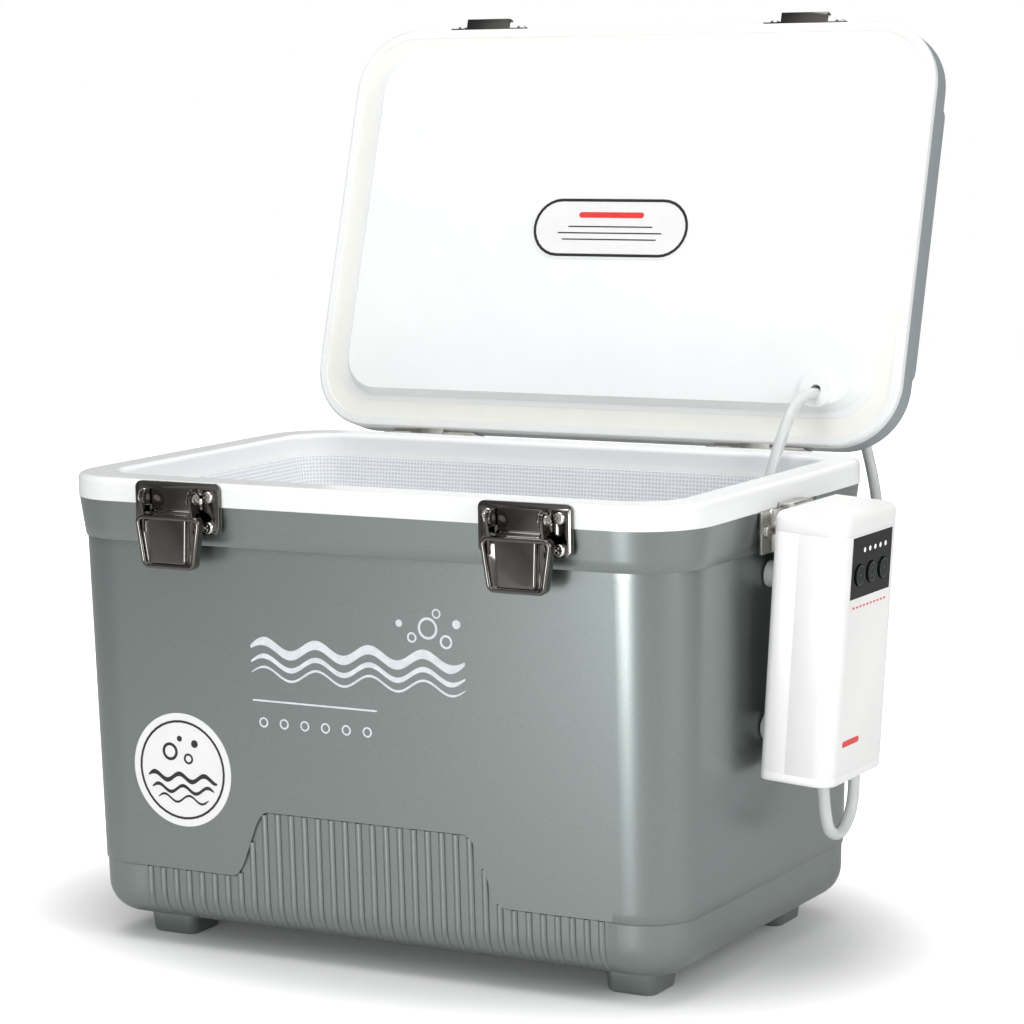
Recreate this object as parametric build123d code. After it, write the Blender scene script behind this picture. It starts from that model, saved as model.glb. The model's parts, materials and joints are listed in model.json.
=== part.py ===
from build123d import *
import os
from math import atan, cos, degrees, radians, sin, tan

# Aerated bait bucket: millimetres, +X right, -Y front, +Z up.
# The origin is on the floor below the tub's centre. The lid is built closed, then opened.

# Tub: outer shell
BODY_HALF_X = 173.5
BODY_HALF_Y = 114.4
BODY_CORNER = 32.0
BODY_TOP = 209.1
BODY_DRAFT = 1.6
BOTTOM_EDGE = 16.0
COLLAR_STEP = 0.9
COLLAR_HEIGHT = 20.1
COLLAR_FLARE = 2.8
SHELL_WALL = 3.0
FOOT_HEIGHT = 13.0
FOOT_INSET_X = 41.0
FOOT_INSET_Y = 41.4
FOOT_SIZE = 29.0
FOOT_CORNER = 6.0

# Tub: liner with its rim
RIM_HEIGHT = 11.8
RIM_LIP = 0.4
RIM_EDGE = 3.0
LINER_WALL = 3.0
OPENING_BORDER_X = 18.6
OPENING_BORDER_Y = 20.5
OPENING_CORNER = 22.0
OPENING_EDGE = 2.5
LEDGE_DEPTH = 15.0
LEDGE_WIDTH = 2.5
BASIN_FLOOR = 31.0
BASIN_DRAFT = 1.5
BASIN_EDGE = 10.0

# Net
NET_CLEARANCE = 0.4
NET_FRAME_WIDTH = 2.4
NET_FRAME_HEIGHT = 3.0
NET_WALL = 1.0
NET_FLOOR = 50.0
NET_DRAFT = 4.5

# Lid, in its closed place
LID_GAP = 0.3
LID_OVERHANG_X = 0.8
LID_SETBACK_Y = 2.6
LID_SHIFT_Y = 0.97
LID_CORNER = 35.5
LID_OPEN = 107.0
LIP_HEIGHT = 5.0
LIP_EDGE = 1.6
LID_SHELL_HEIGHT = 19.0
LID_EDGE = 9.0
LID_WALL = 3.0
PLATEAU_RISE = 4.0
PLATEAU_HALF_Y = 78.0
PLATEAU_SHIFT_Y = 2.4
PLATEAU_INSET = 0.4
PLUG_DEPTH = 5.0
PLUG_BASE_REACH = 1.0
PLUG_FACE_CLEARANCE = 2.5
CHANNEL_FROM_EDGE = 5.2
CHANNEL_WIDTH = 9.8
CHANNEL_DEPTH = 2.4
GASKET_RECESS = 0.3
LABEL_LENGTH = 97.2
LABEL_WIDTH = 34.8
LABEL_Y = 1.7
LABEL_THICKNESS = 0.3
STICKER_INSET = 67.5
STICKER_Z = 93.4
STICKER_RADIUS = 29.2

# Hinges
HINGE_OUT = 5.45
HINGE_BELOW_RIM = 4.27
HINGE_X = 100.0
HINGE_WIDTH = 52.0
LEAF = 1.5
LEAF_BOTTOM_BELOW_RIM = 32.0
LEAF_TOP_BELOW_RIM = 5.8
LID_LEAF_HEIGHT = 18.0
KNUCKLE_RADIUS = 3.5
KNUCKLE_GAP = 0.3
PIN_RADIUS = 1.5
RUNNING = 0.05
HINGE_SCREW_SPREAD = 34.0
HINGE_SCREW_BELOW_RIM = 23.0

# Screws
SCREW_HEAD_RADIUS = 3.0
SCREW_HEAD_HEIGHT = 1.8
SCREW_RADIUS = 1.6
SCREW_LENGTH = 9.0
RECESS_WIDTH = 0.9
RECESS_LENGTH = 3.4
RECESS_DEPTH = 0.8

# Latches
LATCH_X = 98.0
SHEET = 1.2
PLATE_WIDTH = 49.5
PLATE_HEIGHT = 25.2
PLATE_BELOW_RIM = 0.1
PLATE_DEPTH = 3.1
PLATE_CORNER = 3.5
PLATE_SCREW_X = 19.0
PLATE_SCREW_FROM_BOTTOM = 3.6
PLATE_SCREW_FROM_TOP = 6.5
EAR_INSIDE = 12.4
EAR_RADIUS = 4.0
LATCH_SIDE_GAP = 0.3
PIVOT_OUT = 7.0
PIVOT_FROM_TOP = 6.9
RIVET_RADIUS = 1.5
RIVET_HEAD_RADIUS = 2.6
RIVET_HEAD = 1.2
CLAW_PIN_BACK = 2.5
CLAW_PIN_DROP = 8.5
CLAW_PIN_RADIUS = 1.2
CLAW_WIDTH = 23.7
CLAW_KNUCKLE = 2.4
CLAW_TIP_FROM_TOP = 2.5
CLAW_TIP_GAP = 0.4
LEVER_TOP_WIDTH = 39.5
LEVER_BOTTOM_WIDTH = 31.0
LEVER_BELOW_PIVOT = 8.5
LEVER_LENGTH = 26.9
LEVER_DEPTH = 4.7
LEVER_OUT = 9.5
LEVER_CORNER = 3.0
LEVER_NOTCH = 3.4

# Strikes on the lid
STRIKE_WIDTH = 49.0
STRIKE_HEIGHT = 9.0
STRIKE_LOW = 1.6
STRIKE_HOOK_WIDTH = 27.5
STRIKE_REACH = 6.2
STRIKE_CURL = 4.0
STRIKE_SCREW_X = 19.2

# Strap brackets on the tub's sides
BRACKET_HALF = 20.0
BRACKET_STANDOFF = 2.6
BRACKET_TAB = 11.0
BRACKET_HEIGHT = 21.0
BRACKET_BELOW_RIM = 11.4

# Air pump, in its own frame: x away from the tub, z up along its back
PUMP_STANDOFF = 3.8
PUMP_TOP_BELOW_RIM = 9.3
PUMP_LEAN = 4.0
PUMP_DEPTH = 37.2
PUMP_WIDTH = 70.0
PUMP_HEIGHT = 132.0
PUMP_FRONT_CORNER = 10.0
PUMP_BACK_CORNER = 4.0
PUMP_WALL = 2.2
PUMP_PARTING = 13.5
BOTTOM_CAP = 4.5
BOTTOM_CAP_EDGE = 1.5
TOP_CAP = 10.0
TOP_CAP_EDGE = 4.0
PANEL_HALF_WIDTH = 24.0
PANEL_HEIGHT = 30.0
PANEL_FROM_TOP = 11.0
PANEL_THICKNESS = 1.5
BUTTON_SPACING = 14.3
BUTTON_ABOVE_PANEL_LOW = 11.2
BUTTON_RADIUS = 5.2
BUTTON_FLANGE = 6.4
BUTTON_PROUD = 0.8
BUTTON_GAP = 0.3
BUTTON_TRAVEL = 0.5
STEM_RADIUS = 1.5
LIGHT_FIRST_Y = -9.2
LIGHT_PITCH = 6.35
LIGHT_COUNT = 5
LIGHT_ABOVE_PANEL_LOW = 22.9
LIGHT_RADIUS = 1.2
BOARD_BACK = 29.4
BOARD_THICKNESS = 1.6
BOARD_BELOW_PANEL = 2.7
BOARD_ABOVE_PANEL = 1.3
BOARD_HALF_WIDTH = 20.0
POST_RADIUS = 2.0
SWITCH_SIZE = 6.0
CELL_RADIUS = 9.2
CELL_LENGTH = 50.0
CELL_X = 13.0
CELL_GAP = 1.0
CELL_SPACING = 18.8
HOLDER_PLATE = 2.5
MOTOR_RADIUS = 11.2
MOTOR_LENGTH = 28.0
MOTOR_X = 15.2
MOTOR_FROM_TOP = 40.0
MOTOR_WALL = 1.5
ARMATURE_RADIUS = 9.0
SHAFT_RADIUS = 1.0
ECCENTRIC_RADIUS = 5.0
ECCENTRIC_OFFSET = 1.5
ECCENTRIC_Y = 1.5
ECCENTRIC_WIDTH = 3.0
ARM_CLEARANCE = 0.3
ARM_RING = 1.6
DIAPHRAGM_RADIUS = 8.0
DIAPHRAGM_THICKNESS = 1.5
HEAD_ABOVE_MOTOR = 14.0
HEAD_HEIGHT = 12.0
HEAD_HALF = 8.0
CHAMBER_RADIUS = 6.5
CHAMBER_DEPTH = 4.0
BOSS_RADIUS = 3.0
BOSS_Y = 30.0
BOSS_LOW = 12.0
BOSS_FROM_TOP = 18.0
CASE_SCREW_RADIUS = 1.2
CASE_SCREW_HEAD = 2.3
BUMPER_RADIUS = 6.5
BUMPER_Y = 14.0
BUMPER_LOW = 21.5
BUMPER_FROM_TOP = 35.0
BUMPER_GAP = 0.2
HANGER_HALF_WIDTH = 12.0
HANGER_LEG = 1.6
HANGER_GAP = 0.8
HANGER_BELOW_RIM = 38.0
HANGER_LEG_BELOW_RIM = 29.0
HANGER_ARM = 2.0
PORT_X = 18.6
PORT_Y = -15.0
PORT_LENGTH = 9.4
PORT_DEPTH = 3.6
PORT_HEIGHT = 6.5
COVER_THICKNESS = 1.6
COVER_GAP = 0.1
COVER_MARGIN = 2.0
COVER_PIN = 0.6
COVER_KNUCKLE = 1.3

# Air tube
TUBE_RADIUS = 3.0
TUBE_BORE = 2.0
TURN_SHARE = 0.45
HOSE_STEP = 11.2
BARB_CLEARANCE = 0.05
GROMMET_INSET_X = 44.4
GROMMET_INSET_Y = 9.7
GROMMET_HUB = 6.5
GROMMET_FLANGE = 9.2
GROMMET_LIP = 1.8
GROMMET_FIT = 0.15
STONE_RADIUS = 8.0
STONE_LENGTH = 32.0
STONE_BARB = 8.0

# Derived levels
rim_bottom = BODY_TOP + COLLAR_HEIGHT
rim_top = rim_bottom + RIM_HEIGHT
collar_half_x = BODY_HALF_X + COLLAR_STEP + COLLAR_FLARE
collar_half_y = BODY_HALF_Y + COLLAR_STEP + COLLAR_FLARE
collar_corner = BODY_CORNER + COLLAR_STEP + COLLAR_FLARE
collar_draft = degrees(atan(COLLAR_FLARE / COLLAR_HEIGHT))
rim_half_x = collar_half_x + RIM_LIP
rim_half_y = collar_half_y + RIM_LIP
rim_corner = collar_corner + RIM_LIP
foot_x = BODY_HALF_X - FOOT_INSET_X
foot_y = BODY_HALF_Y - FOOT_INSET_Y
opening_half_x = rim_half_x - OPENING_BORDER_X
opening_half_y = rim_half_y - OPENING_BORDER_Y
ledge_z = rim_top - LEDGE_DEPTH
lid_half_x = rim_half_x + LID_OVERHANG_X
lid_half_y = rim_half_y - LID_SETBACK_Y
lip_plane = rim_top + LID_GAP
lid_shell_low = lip_plane + LIP_HEIGHT
lid_shell_high = lid_shell_low + LID_SHELL_HEIGHT
plug_face = lip_plane - PLUG_DEPTH
lid_front = LID_SHIFT_Y - lid_half_y
lid_back = LID_SHIFT_Y + lid_half_y
grommet_x = lid_half_x - GROMMET_INSET_X
grommet_y = opening_half_y - GROMMET_INSET_Y
sticker_x = STICKER_INSET - BODY_HALF_X
hinge_y = rim_half_y + HINGE_OUT
hinge_z = rim_top - HINGE_BELOW_RIM
leaf_bottom = rim_top - LEAF_BOTTOM_BELOW_RIM
leaf_top = rim_top - LEAF_TOP_BELOW_RIM
hinge_screw_z = rim_top - HINGE_SCREW_BELOW_RIM
latch_wall = -rim_half_y
plate_front = latch_wall - PLATE_DEPTH
plate_top = rim_top - PLATE_BELOW_RIM
plate_bottom = plate_top - PLATE_HEIGHT
plate_screw_low = plate_bottom + PLATE_SCREW_FROM_BOTTOM
plate_screw_high = plate_top - PLATE_SCREW_FROM_TOP
pivot_y = plate_front - PIVOT_OUT
pivot_z = plate_top - PIVOT_FROM_TOP
claw_pin_y = pivot_y + CLAW_PIN_BACK
claw_pin_z = pivot_z - CLAW_PIN_DROP
claw_top = plate_top - CLAW_TIP_FROM_TOP
lever_top = pivot_z - LEVER_BELOW_PIVOT
lever_bottom = lever_top - LEVER_LENGTH
bracket_top = rim_top - BRACKET_BELOW_RIM
bracket_bottom = bracket_top - BRACKET_HEIGHT
bracket_back = rim_half_x + BRACKET_STANDOFF
hanger_bottom = rim_top - HANGER_BELOW_RIM
hanger_leg_bottom = rim_top - HANGER_LEG_BELOW_RIM
pump_x = BODY_HALF_X + PUMP_STANDOFF
pump_z = rim_top - PUMP_TOP_BELOW_RIM - PUMP_HEIGHT
panel_high = PUMP_HEIGHT - PANEL_FROM_TOP
panel_low = panel_high - PANEL_HEIGHT
button_z = panel_low + BUTTON_ABOVE_PANEL_LOW
light_z = panel_low + LIGHT_ABOVE_PANEL_LOW
board_low = panel_low - BOARD_BELOW_PANEL
board_high = panel_high + BOARD_ABOVE_PANEL
boss_high = PUMP_HEIGHT - BOSS_FROM_TOP
bumper_high = PUMP_HEIGHT - BUMPER_FROM_TOP
motor_z = PUMP_HEIGHT - MOTOR_FROM_TOP
head_low = motor_z + HEAD_ABOVE_MOTOR
cell_low = motor_z - MOTOR_RADIUS - CELL_GAP - CELL_LENGTH
pump_place = Location((pump_x, 0, pump_z), (0, PUMP_LEAN, 0))
lid_place = (
    Location((0, hinge_y, hinge_z))
    * Location((0, 0, 0), (-LID_OPEN, 0, 0))
    * Location((0, -hinge_y, -hinge_z))
)
low = (Align.CENTER, Align.CENTER, Align.MIN)
high = (Align.CENTER, Align.CENTER, Align.MAX)


# Shared shapes
def block(x_low, x_high, y_low, y_high, z_low, z_high):
    middle = Pos((x_low + x_high) / 2, (y_low + y_high) / 2, (z_low + z_high) / 2)
    return middle * Box(x_high - x_low, y_high - y_low, z_high - z_low)


def rounded_block(half_x, half_y, corner, z_low, z_high, shift_y=0.0):
    outline = Pos(0, shift_y, z_low) * RectangleRounded(2 * half_x, 2 * half_y, corner)
    return extrude(outline, z_high - z_low)


def drafted_block(half_x, half_y, corner, z_low, z_high, draft):
    top = Plane((0, 0, z_high), x_dir=(1, 0, 0), z_dir=(0, 0, -1))
    return extrude(top * RectangleRounded(2 * half_x, 2 * half_y, corner), z_high - z_low, taper=draft)


def side_profile(points, half_width):
    face = make_face(Polyline([(x, 0, z) for x, z in points], close=True))
    return extrude(face, half_width, dir=(0, 1, 0), both=True)


def front_profile(points, y_from, y_to):
    face = make_face(Polyline([(x, y_from, z) for x, z in points], close=True))
    return extrude(face, y_to - y_from, dir=(0, 1, 0))


def rod_x(x_low, x_high, y, z, radius):
    return Location((x_low, y, z), (0, 90, 0)) * Cylinder(radius, x_high - x_low, align=low)


def rod_y(x, y_low, y_high, z, radius):
    return Location((x, y_low, z), (-90, 0, 0)) * Cylinder(radius, y_high - y_low, align=low)


def rod_z(x, y, z_low, z_high, radius):
    return Pos(x, y, z_low) * Cylinder(radius, z_high - z_low, align=low)


def front_seat(x, y, z):
    return Location((x, y, z), (90, 0, 0))


def back_seat(x, y, z):
    return Location((x, y, z), (-90, 0, 0))


def side_seat(x, y, z, side):
    return Location((x, y, z), (0, 90 * side, 0))


def screw(seat, head_radius=SCREW_HEAD_RADIUS, radius=SCREW_RADIUS, length=SCREW_LENGTH):
    head = Cylinder(head_radius, SCREW_HEAD_HEIGHT, align=low)
    head = fillet(head.edges().sort_by(Axis.Z)[-1], SCREW_HEAD_HEIGHT / 2)
    recess = Box(RECESS_LENGTH, RECESS_WIDTH, RECESS_DEPTH, align=high)
    recess += Box(RECESS_WIDTH, RECESS_LENGTH, RECESS_DEPTH, align=high)
    head -= Pos(0, 0, SCREW_HEAD_HEIGHT) * recess
    return seat * (head + Cylinder(radius, length, align=high))


def screw_hole(seat, radius=SCREW_RADIUS, length=SCREW_LENGTH):
    return seat * Cylinder(radius, length, align=high)


def joined(parts):
    whole = parts[0]
    for part in parts[1:]:
        whole += part
    return whole


def group(parts):
    return Compound(children=[solid for part in parts for solid in part.solids()])


# Where the screws sit
def plate_seats(side):
    spots = []
    for u in (-PLATE_SCREW_X, PLATE_SCREW_X):
        for z in (plate_screw_low, plate_screw_high):
            spots.append(front_seat(side * LATCH_X + u, plate_front, z))
    return spots


def tub_hinge_seats():
    spots = []
    for side in (-1, 1):
        for u in (-HINGE_SCREW_SPREAD / 2, HINGE_SCREW_SPREAD / 2):
            spots.append(back_seat(side * HINGE_X + u, rim_half_y + LEAF, hinge_screw_z))
    return spots


def lid_hinge_seats():
    spots = []
    for side in (-1, 1):
        for u in (-HINGE_SCREW_SPREAD / 2, HINGE_SCREW_SPREAD / 2):
            z = lid_shell_low + LID_LEAF_HEIGHT / 2 - LEAF
            spots.append(back_seat(side * HINGE_X + u, lid_back + LEAF, z))
    return spots


def bracket_seats():
    spots = []
    for side in (-1, 1):
        for end in (-1, 1):
            y = end * (BRACKET_HALF + SHEET + BRACKET_TAB / 2)
            z = (bracket_bottom + bracket_top) / 2
            spots.append(side_seat(side * (rim_half_x + SHEET), y, z, side))
    return spots


def strike_seats():
    z = lip_plane + STRIKE_LOW + STRIKE_HEIGHT / 2 + SHEET
    spots = []
    for side in (-1, 1):
        for u in (-STRIKE_SCREW_X, STRIKE_SCREW_X):
            spots.append(front_seat(side * LATCH_X + u, lid_front - SHEET, z))
    return spots


def holes(seats):
    return joined([screw_hole(seat) for seat in seats])


def tub_holes():
    seats = plate_seats(-1) + plate_seats(1) + tub_hinge_seats() + bracket_seats()
    return holes(seats)


# Tub
def shell_cavity():
    body = drafted_block(
        BODY_HALF_X - SHELL_WALL,
        BODY_HALF_Y - SHELL_WALL,
        BODY_CORNER - SHELL_WALL,
        FOOT_HEIGHT + SHELL_WALL,
        BODY_TOP,
        BODY_DRAFT,
    )
    body = fillet(body.edges().group_by(Axis.Z)[0], BOTTOM_EDGE - SHELL_WALL)
    collar = drafted_block(
        collar_half_x - SHELL_WALL,
        collar_half_y - SHELL_WALL,
        collar_corner - SHELL_WALL,
        BODY_TOP,
        rim_bottom,
        collar_draft,
    )
    return body + collar


def outer_shell():
    body = drafted_block(BODY_HALF_X, BODY_HALF_Y, BODY_CORNER, FOOT_HEIGHT, BODY_TOP, BODY_DRAFT)
    body = fillet(body.edges().group_by(Axis.Z)[0], BOTTOM_EDGE)
    body += drafted_block(
        collar_half_x, collar_half_y, collar_corner, BODY_TOP, rim_bottom, collar_draft
    )
    for side in (-1, 1):
        for end in (-1, 1):
            foot = RectangleRounded(FOOT_SIZE, FOOT_SIZE, FOOT_CORNER)
            foot = extrude(Pos(side * foot_x, end * foot_y, 0) * foot, FOOT_HEIGHT + SHELL_WALL / 2)
            body += foot
        latch_half = PLATE_WIDTH / 2 - SHEET
        hinge_half = HINGE_WIDTH / 2
        body += block(
            side * LATCH_X - latch_half, side * LATCH_X + latch_half,
            latch_wall, latch_wall + 2 * SHELL_WALL, plate_bottom, rim_bottom,
        )
        body += block(
            side * HINGE_X - hinge_half, side * HINGE_X + hinge_half,
            rim_half_y - 2 * SHELL_WALL, rim_half_y, leaf_bottom, rim_bottom,
        )
        pad_half = BRACKET_HALF + SHEET + BRACKET_TAB
        pad_ends = sorted((side * rim_half_x, side * (rim_half_x - 2 * SHELL_WALL)))
        body += block(*pad_ends, -pad_half, pad_half, bracket_bottom, rim_bottom)
    return body - shell_cavity() - tub_holes()


def basin_outside():
    upper = rounded_block(
        opening_half_x + LINER_WALL,
        opening_half_y + LINER_WALL,
        OPENING_CORNER + LINER_WALL,
        ledge_z - LINER_WALL,
        rim_top,
    )
    lower = drafted_block(
        opening_half_x - LEDGE_WIDTH + LINER_WALL,
        opening_half_y - LEDGE_WIDTH + LINER_WALL,
        OPENING_CORNER - LEDGE_WIDTH + LINER_WALL,
        BASIN_FLOOR - LINER_WALL,
        ledge_z,
        BASIN_DRAFT,
    )
    lower = fillet(lower.edges().group_by(Axis.Z)[0], BASIN_EDGE + LINER_WALL)
    return upper + lower


def basin_inside():
    upper = rounded_block(opening_half_x, opening_half_y, OPENING_CORNER, ledge_z, rim_top)
    lower = drafted_block(
        opening_half_x - LEDGE_WIDTH,
        opening_half_y - LEDGE_WIDTH,
        OPENING_CORNER - LEDGE_WIDTH,
        BASIN_FLOOR,
        ledge_z,
        BASIN_DRAFT,
    )
    lower = fillet(lower.edges().group_by(Axis.Z)[0], BASIN_EDGE)
    return upper + lower


def rim_inside():
    return rounded_block(
        rim_half_x - LINER_WALL,
        rim_half_y - LINER_WALL,
        rim_corner - LINER_WALL,
        rim_bottom,
        rim_top - LINER_WALL,
    )


def inner_liner():
    rim = rounded_block(rim_half_x, rim_half_y, rim_corner, rim_bottom, rim_top)
    rim = fillet(rim.edges().group_by(Axis.Z)[-1], RIM_EDGE)
    liner = rim - rim_inside() + basin_outside() - basin_inside()
    mouth = liner.edges().group_by(Axis.Z)[-1]
    mouth = mouth.filter_by(lambda edge: abs(edge.center().X) < opening_half_x + OPENING_EDGE)
    mouth = mouth.filter_by(lambda edge: abs(edge.center().Y) < opening_half_y + OPENING_EDGE)
    liner = fillet(mouth, OPENING_EDGE)
    return liner - tub_holes()


def tub_insulation():
    return shell_cavity() + rim_inside() - basin_outside() - tub_holes()


def net_frame():
    half_x = opening_half_x - NET_CLEARANCE
    half_y = opening_half_y - NET_CLEARANCE
    corner = OPENING_CORNER - NET_CLEARANCE
    inner = NET_FRAME_WIDTH
    top = ledge_z + NET_FRAME_HEIGHT
    ring = rounded_block(half_x, half_y, corner, ledge_z, top)
    return ring - rounded_block(half_x - inner, half_y - inner, corner - inner, ledge_z, top)


def bait_net():
    inset = NET_CLEARANCE + NET_FRAME_WIDTH
    half_x = opening_half_x - inset
    half_y = opening_half_y - inset
    corner = OPENING_CORNER - inset
    top = ledge_z + NET_FRAME_HEIGHT
    bag = drafted_block(half_x, half_y, corner, NET_FLOOR, top, NET_DRAFT)
    hollow = drafted_block(
        half_x - NET_WALL, half_y - NET_WALL, corner - NET_WALL, NET_FLOOR + NET_WALL, top, NET_DRAFT
    )
    return bag - hollow


def front_wall_y(z):
    return -BODY_HALF_Y + (BODY_TOP - z) * tan(radians(BODY_DRAFT))


def front_sticker():
    seat = Location((sticker_x, front_wall_y(STICKER_Z), STICKER_Z), (90 + BODY_DRAFT, 0, 0))
    return seat * Cylinder(STICKER_RADIUS, LABEL_THICKNESS, align=low)


# Latches
def latch_plate(side):
    middle_z = (plate_top + plate_bottom) / 2
    height = plate_top - plate_bottom
    seat = Location((side * LATCH_X, latch_wall, middle_z), (90, 0, 0))
    pan = extrude(RectangleRounded(PLATE_WIDTH, height, PLATE_CORNER), PLATE_DEPTH)
    inside = RectangleRounded(
        PLATE_WIDTH - 2 * SHEET, height - 2 * SHEET, PLATE_CORNER - SHEET
    )
    plate = seat * (pan - extrude(inside, PLATE_DEPTH - SHEET))
    for end in (-1, 1):
        ends = sorted((end * EAR_INSIDE, end * (EAR_INSIDE + SHEET)))
        x_low = side * LATCH_X + ends[0]
        ear = block(
            x_low, x_low + SHEET, pivot_y, plate_front, pivot_z - EAR_RADIUS, pivot_z + EAR_RADIUS
        )
        ear += rod_x(x_low, x_low + SHEET, pivot_y, pivot_z, EAR_RADIUS)
        plate += ear - rod_x(x_low, x_low + SHEET, pivot_y, pivot_z, RIVET_RADIUS)
    return plate - holes(plate_seats(side))


def latch_screws():
    return group([screw(seat) for seat in plate_seats(-1) + plate_seats(1)])


def lever_rivets():
    cheek_outside = EAR_INSIDE + 2 * SHEET + LATCH_SIDE_GAP
    rivets = []
    for side, end in ((-1, -1), (-1, 1), (1, -1), (1, 1)):
        start = side * LATCH_X + end * EAR_INSIDE
        finish = side * LATCH_X + end * (cheek_outside + LATCH_SIDE_GAP)
        head_end = finish + end * RIVET_HEAD
        rivet = rod_x(min(start, finish), max(start, finish), pivot_y, pivot_z, RIVET_RADIUS)
        rivet += rod_x(min(finish, head_end), max(finish, head_end), pivot_y, pivot_z, RIVET_HEAD_RADIUS)
        rivets.append(rivet)
    return group(rivets)


def lever_outline(inset, y_from, y_to):
    top = LEVER_TOP_WIDTH / 2 - inset
    bottom = LEVER_BOTTOM_WIDTH / 2 - inset
    corners = [
        (-top, lever_top - inset),
        (top, lever_top - inset),
        (bottom, lever_bottom + inset),
        (-bottom, lever_bottom + inset),
    ]
    solid = front_profile(corners, y_from, y_to)
    return fillet(solid.edges().filter_by(Axis.Y), LEVER_CORNER - inset)


def latch_lever(side):
    front = plate_front - LEVER_OUT
    body = lever_outline(0, front, front + LEVER_DEPTH)
    body -= lever_outline(SHEET, front + SHEET, front + LEVER_DEPTH)
    notch_half = EAR_INSIDE + SHEET + LATCH_SIDE_GAP
    body -= block(
        -notch_half, notch_half, front, front + LEVER_DEPTH, lever_top - LEVER_NOTCH, lever_top
    )
    for end in (-1, 1):
        ends = sorted((end * notch_half, end * (notch_half + SHEET)))
        cheek = block(
            *ends, front + SHEET / 2, pivot_y + EAR_RADIUS / 2, lever_bottom + 2 * LEVER_DEPTH, lever_top
        )
        cheek += block(*ends, pivot_y - EAR_RADIUS / 2, pivot_y + EAR_RADIUS / 2, lever_top, pivot_z)
        cheek += rod_x(*ends, pivot_y, pivot_z, EAR_RADIUS - LATCH_SIDE_GAP)
        cheek += rod_x(*ends, claw_pin_y, claw_pin_z, CLAW_KNUCKLE)
        body += cheek
        body -= rod_x(*ends, pivot_y, pivot_z, RIVET_RADIUS + RUNNING)
        body -= rod_x(*ends, claw_pin_y, claw_pin_z, CLAW_PIN_RADIUS)
    return Pos(side * LATCH_X, 0, 0) * body


def claw_pin(side):
    reach = EAR_INSIDE + 2 * SHEET + LATCH_SIDE_GAP
    return rod_x(side * LATCH_X - reach, side * LATCH_X + reach, claw_pin_y, claw_pin_z, CLAW_PIN_RADIUS)


def latch_claw(side):
    half = CLAW_WIDTH / 2
    tip_y = plate_front - CLAW_TIP_GAP
    back_y = claw_pin_y + CLAW_PIN_RADIUS
    strip = block(-half, half, back_y - SHEET, back_y, claw_pin_z, claw_top)
    strip += block(-half, half, back_y - SHEET, tip_y, claw_top - SHEET, claw_top)
    strip += rod_x(-half, half, claw_pin_y, claw_pin_z, CLAW_KNUCKLE)
    strip -= rod_x(-half, half, claw_pin_y, claw_pin_z, CLAW_PIN_RADIUS + RUNNING)
    return Pos(side * LATCH_X, 0, 0) * strip


# Hinges
def knuckle(x_low, x_high):
    return rod_x(x_low, x_high, hinge_y, hinge_z, KNUCKLE_RADIUS)


def knuckle_bore(x_low, x_high, clearance):
    return rod_x(x_low, x_high, hinge_y, hinge_z, PIN_RADIUS + clearance)


def tub_leaf(side):
    half = HINGE_WIDTH / 2
    third = HINGE_WIDTH / 6
    leaf = block(-half, half, rim_half_y, rim_half_y + LEAF, leaf_bottom, leaf_top)
    for span in ((-half, -third), (third, half)):
        leaf += block(*span, rim_half_y, hinge_y, hinge_z - KNUCKLE_RADIUS, leaf_top)
        leaf += knuckle(*span)
    leaf -= knuckle_bore(-half, half, 0)
    leaf = Pos(side * HINGE_X, 0, 0) * leaf
    return leaf - holes(tub_hinge_seats())


def lid_leaf(side):
    half = HINGE_WIDTH / 2
    middle = HINGE_WIDTH / 6 - KNUCKLE_GAP
    bend_low = lip_plane + LID_GAP
    outer = hinge_y + KNUCKLE_RADIUS
    leaf_high = lip_plane + LID_LEAF_HEIGHT
    leaf = block(-half, half, lid_back, lid_back + LEAF, lid_shell_low, leaf_high)
    leaf += block(-middle, middle, lid_back, lid_back + LEAF, bend_low, lid_shell_low)
    leaf += block(-middle, middle, lid_back, outer, bend_low, bend_low + LEAF)
    leaf += block(-middle, middle, outer - LEAF, outer, hinge_z, bend_low + LEAF)
    leaf += knuckle(-middle, middle)
    leaf -= knuckle_bore(-middle, middle, RUNNING)
    leaf = Pos(side * HINGE_X, 0, 0) * leaf
    return leaf - holes(lid_hinge_seats())


def hinge_pins():
    half = HINGE_WIDTH / 2
    return group(
        [rod_x(s * HINGE_X - half, s * HINGE_X + half, hinge_y, hinge_z, PIN_RADIUS) for s in (-1, 1)]
    )


# Strap brackets
def strap_bracket(side):
    reach = BRACKET_HALF + SHEET
    front = bracket_back + SHEET
    height = (bracket_bottom, bracket_top)
    bracket = block(bracket_back, front, -reach, reach, *height)
    for end in (-1, 1):
        leg = sorted((end * BRACKET_HALF, end * reach))
        tab = sorted((end * BRACKET_HALF, end * (reach + BRACKET_TAB)))
        bracket += block(rim_half_x, front, *leg, *height)
        bracket += block(rim_half_x, rim_half_x + SHEET, *tab, *height)
    if side < 0:
        bracket = mirror(bracket, about=Plane.YZ)
    return bracket - holes(bracket_seats())


# Lid, built closed
def lid_block(inset, z_low, z_high):
    return rounded_block(
        lid_half_x - inset, lid_half_y - inset, LID_CORNER - inset, z_low, z_high, LID_SHIFT_Y
    )


def plateau_block(inset, z_low, z_high):
    half_x = lid_half_x - PLATEAU_INSET - inset
    half_y = PLATEAU_HALF_Y - inset
    return rounded_block(half_x, half_y, LID_EDGE - inset, z_low, z_high, PLATEAU_SHIFT_Y)


def top_rounded(solid, radius):
    return fillet(solid.edges().group_by(Axis.Z)[-1], radius)


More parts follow.
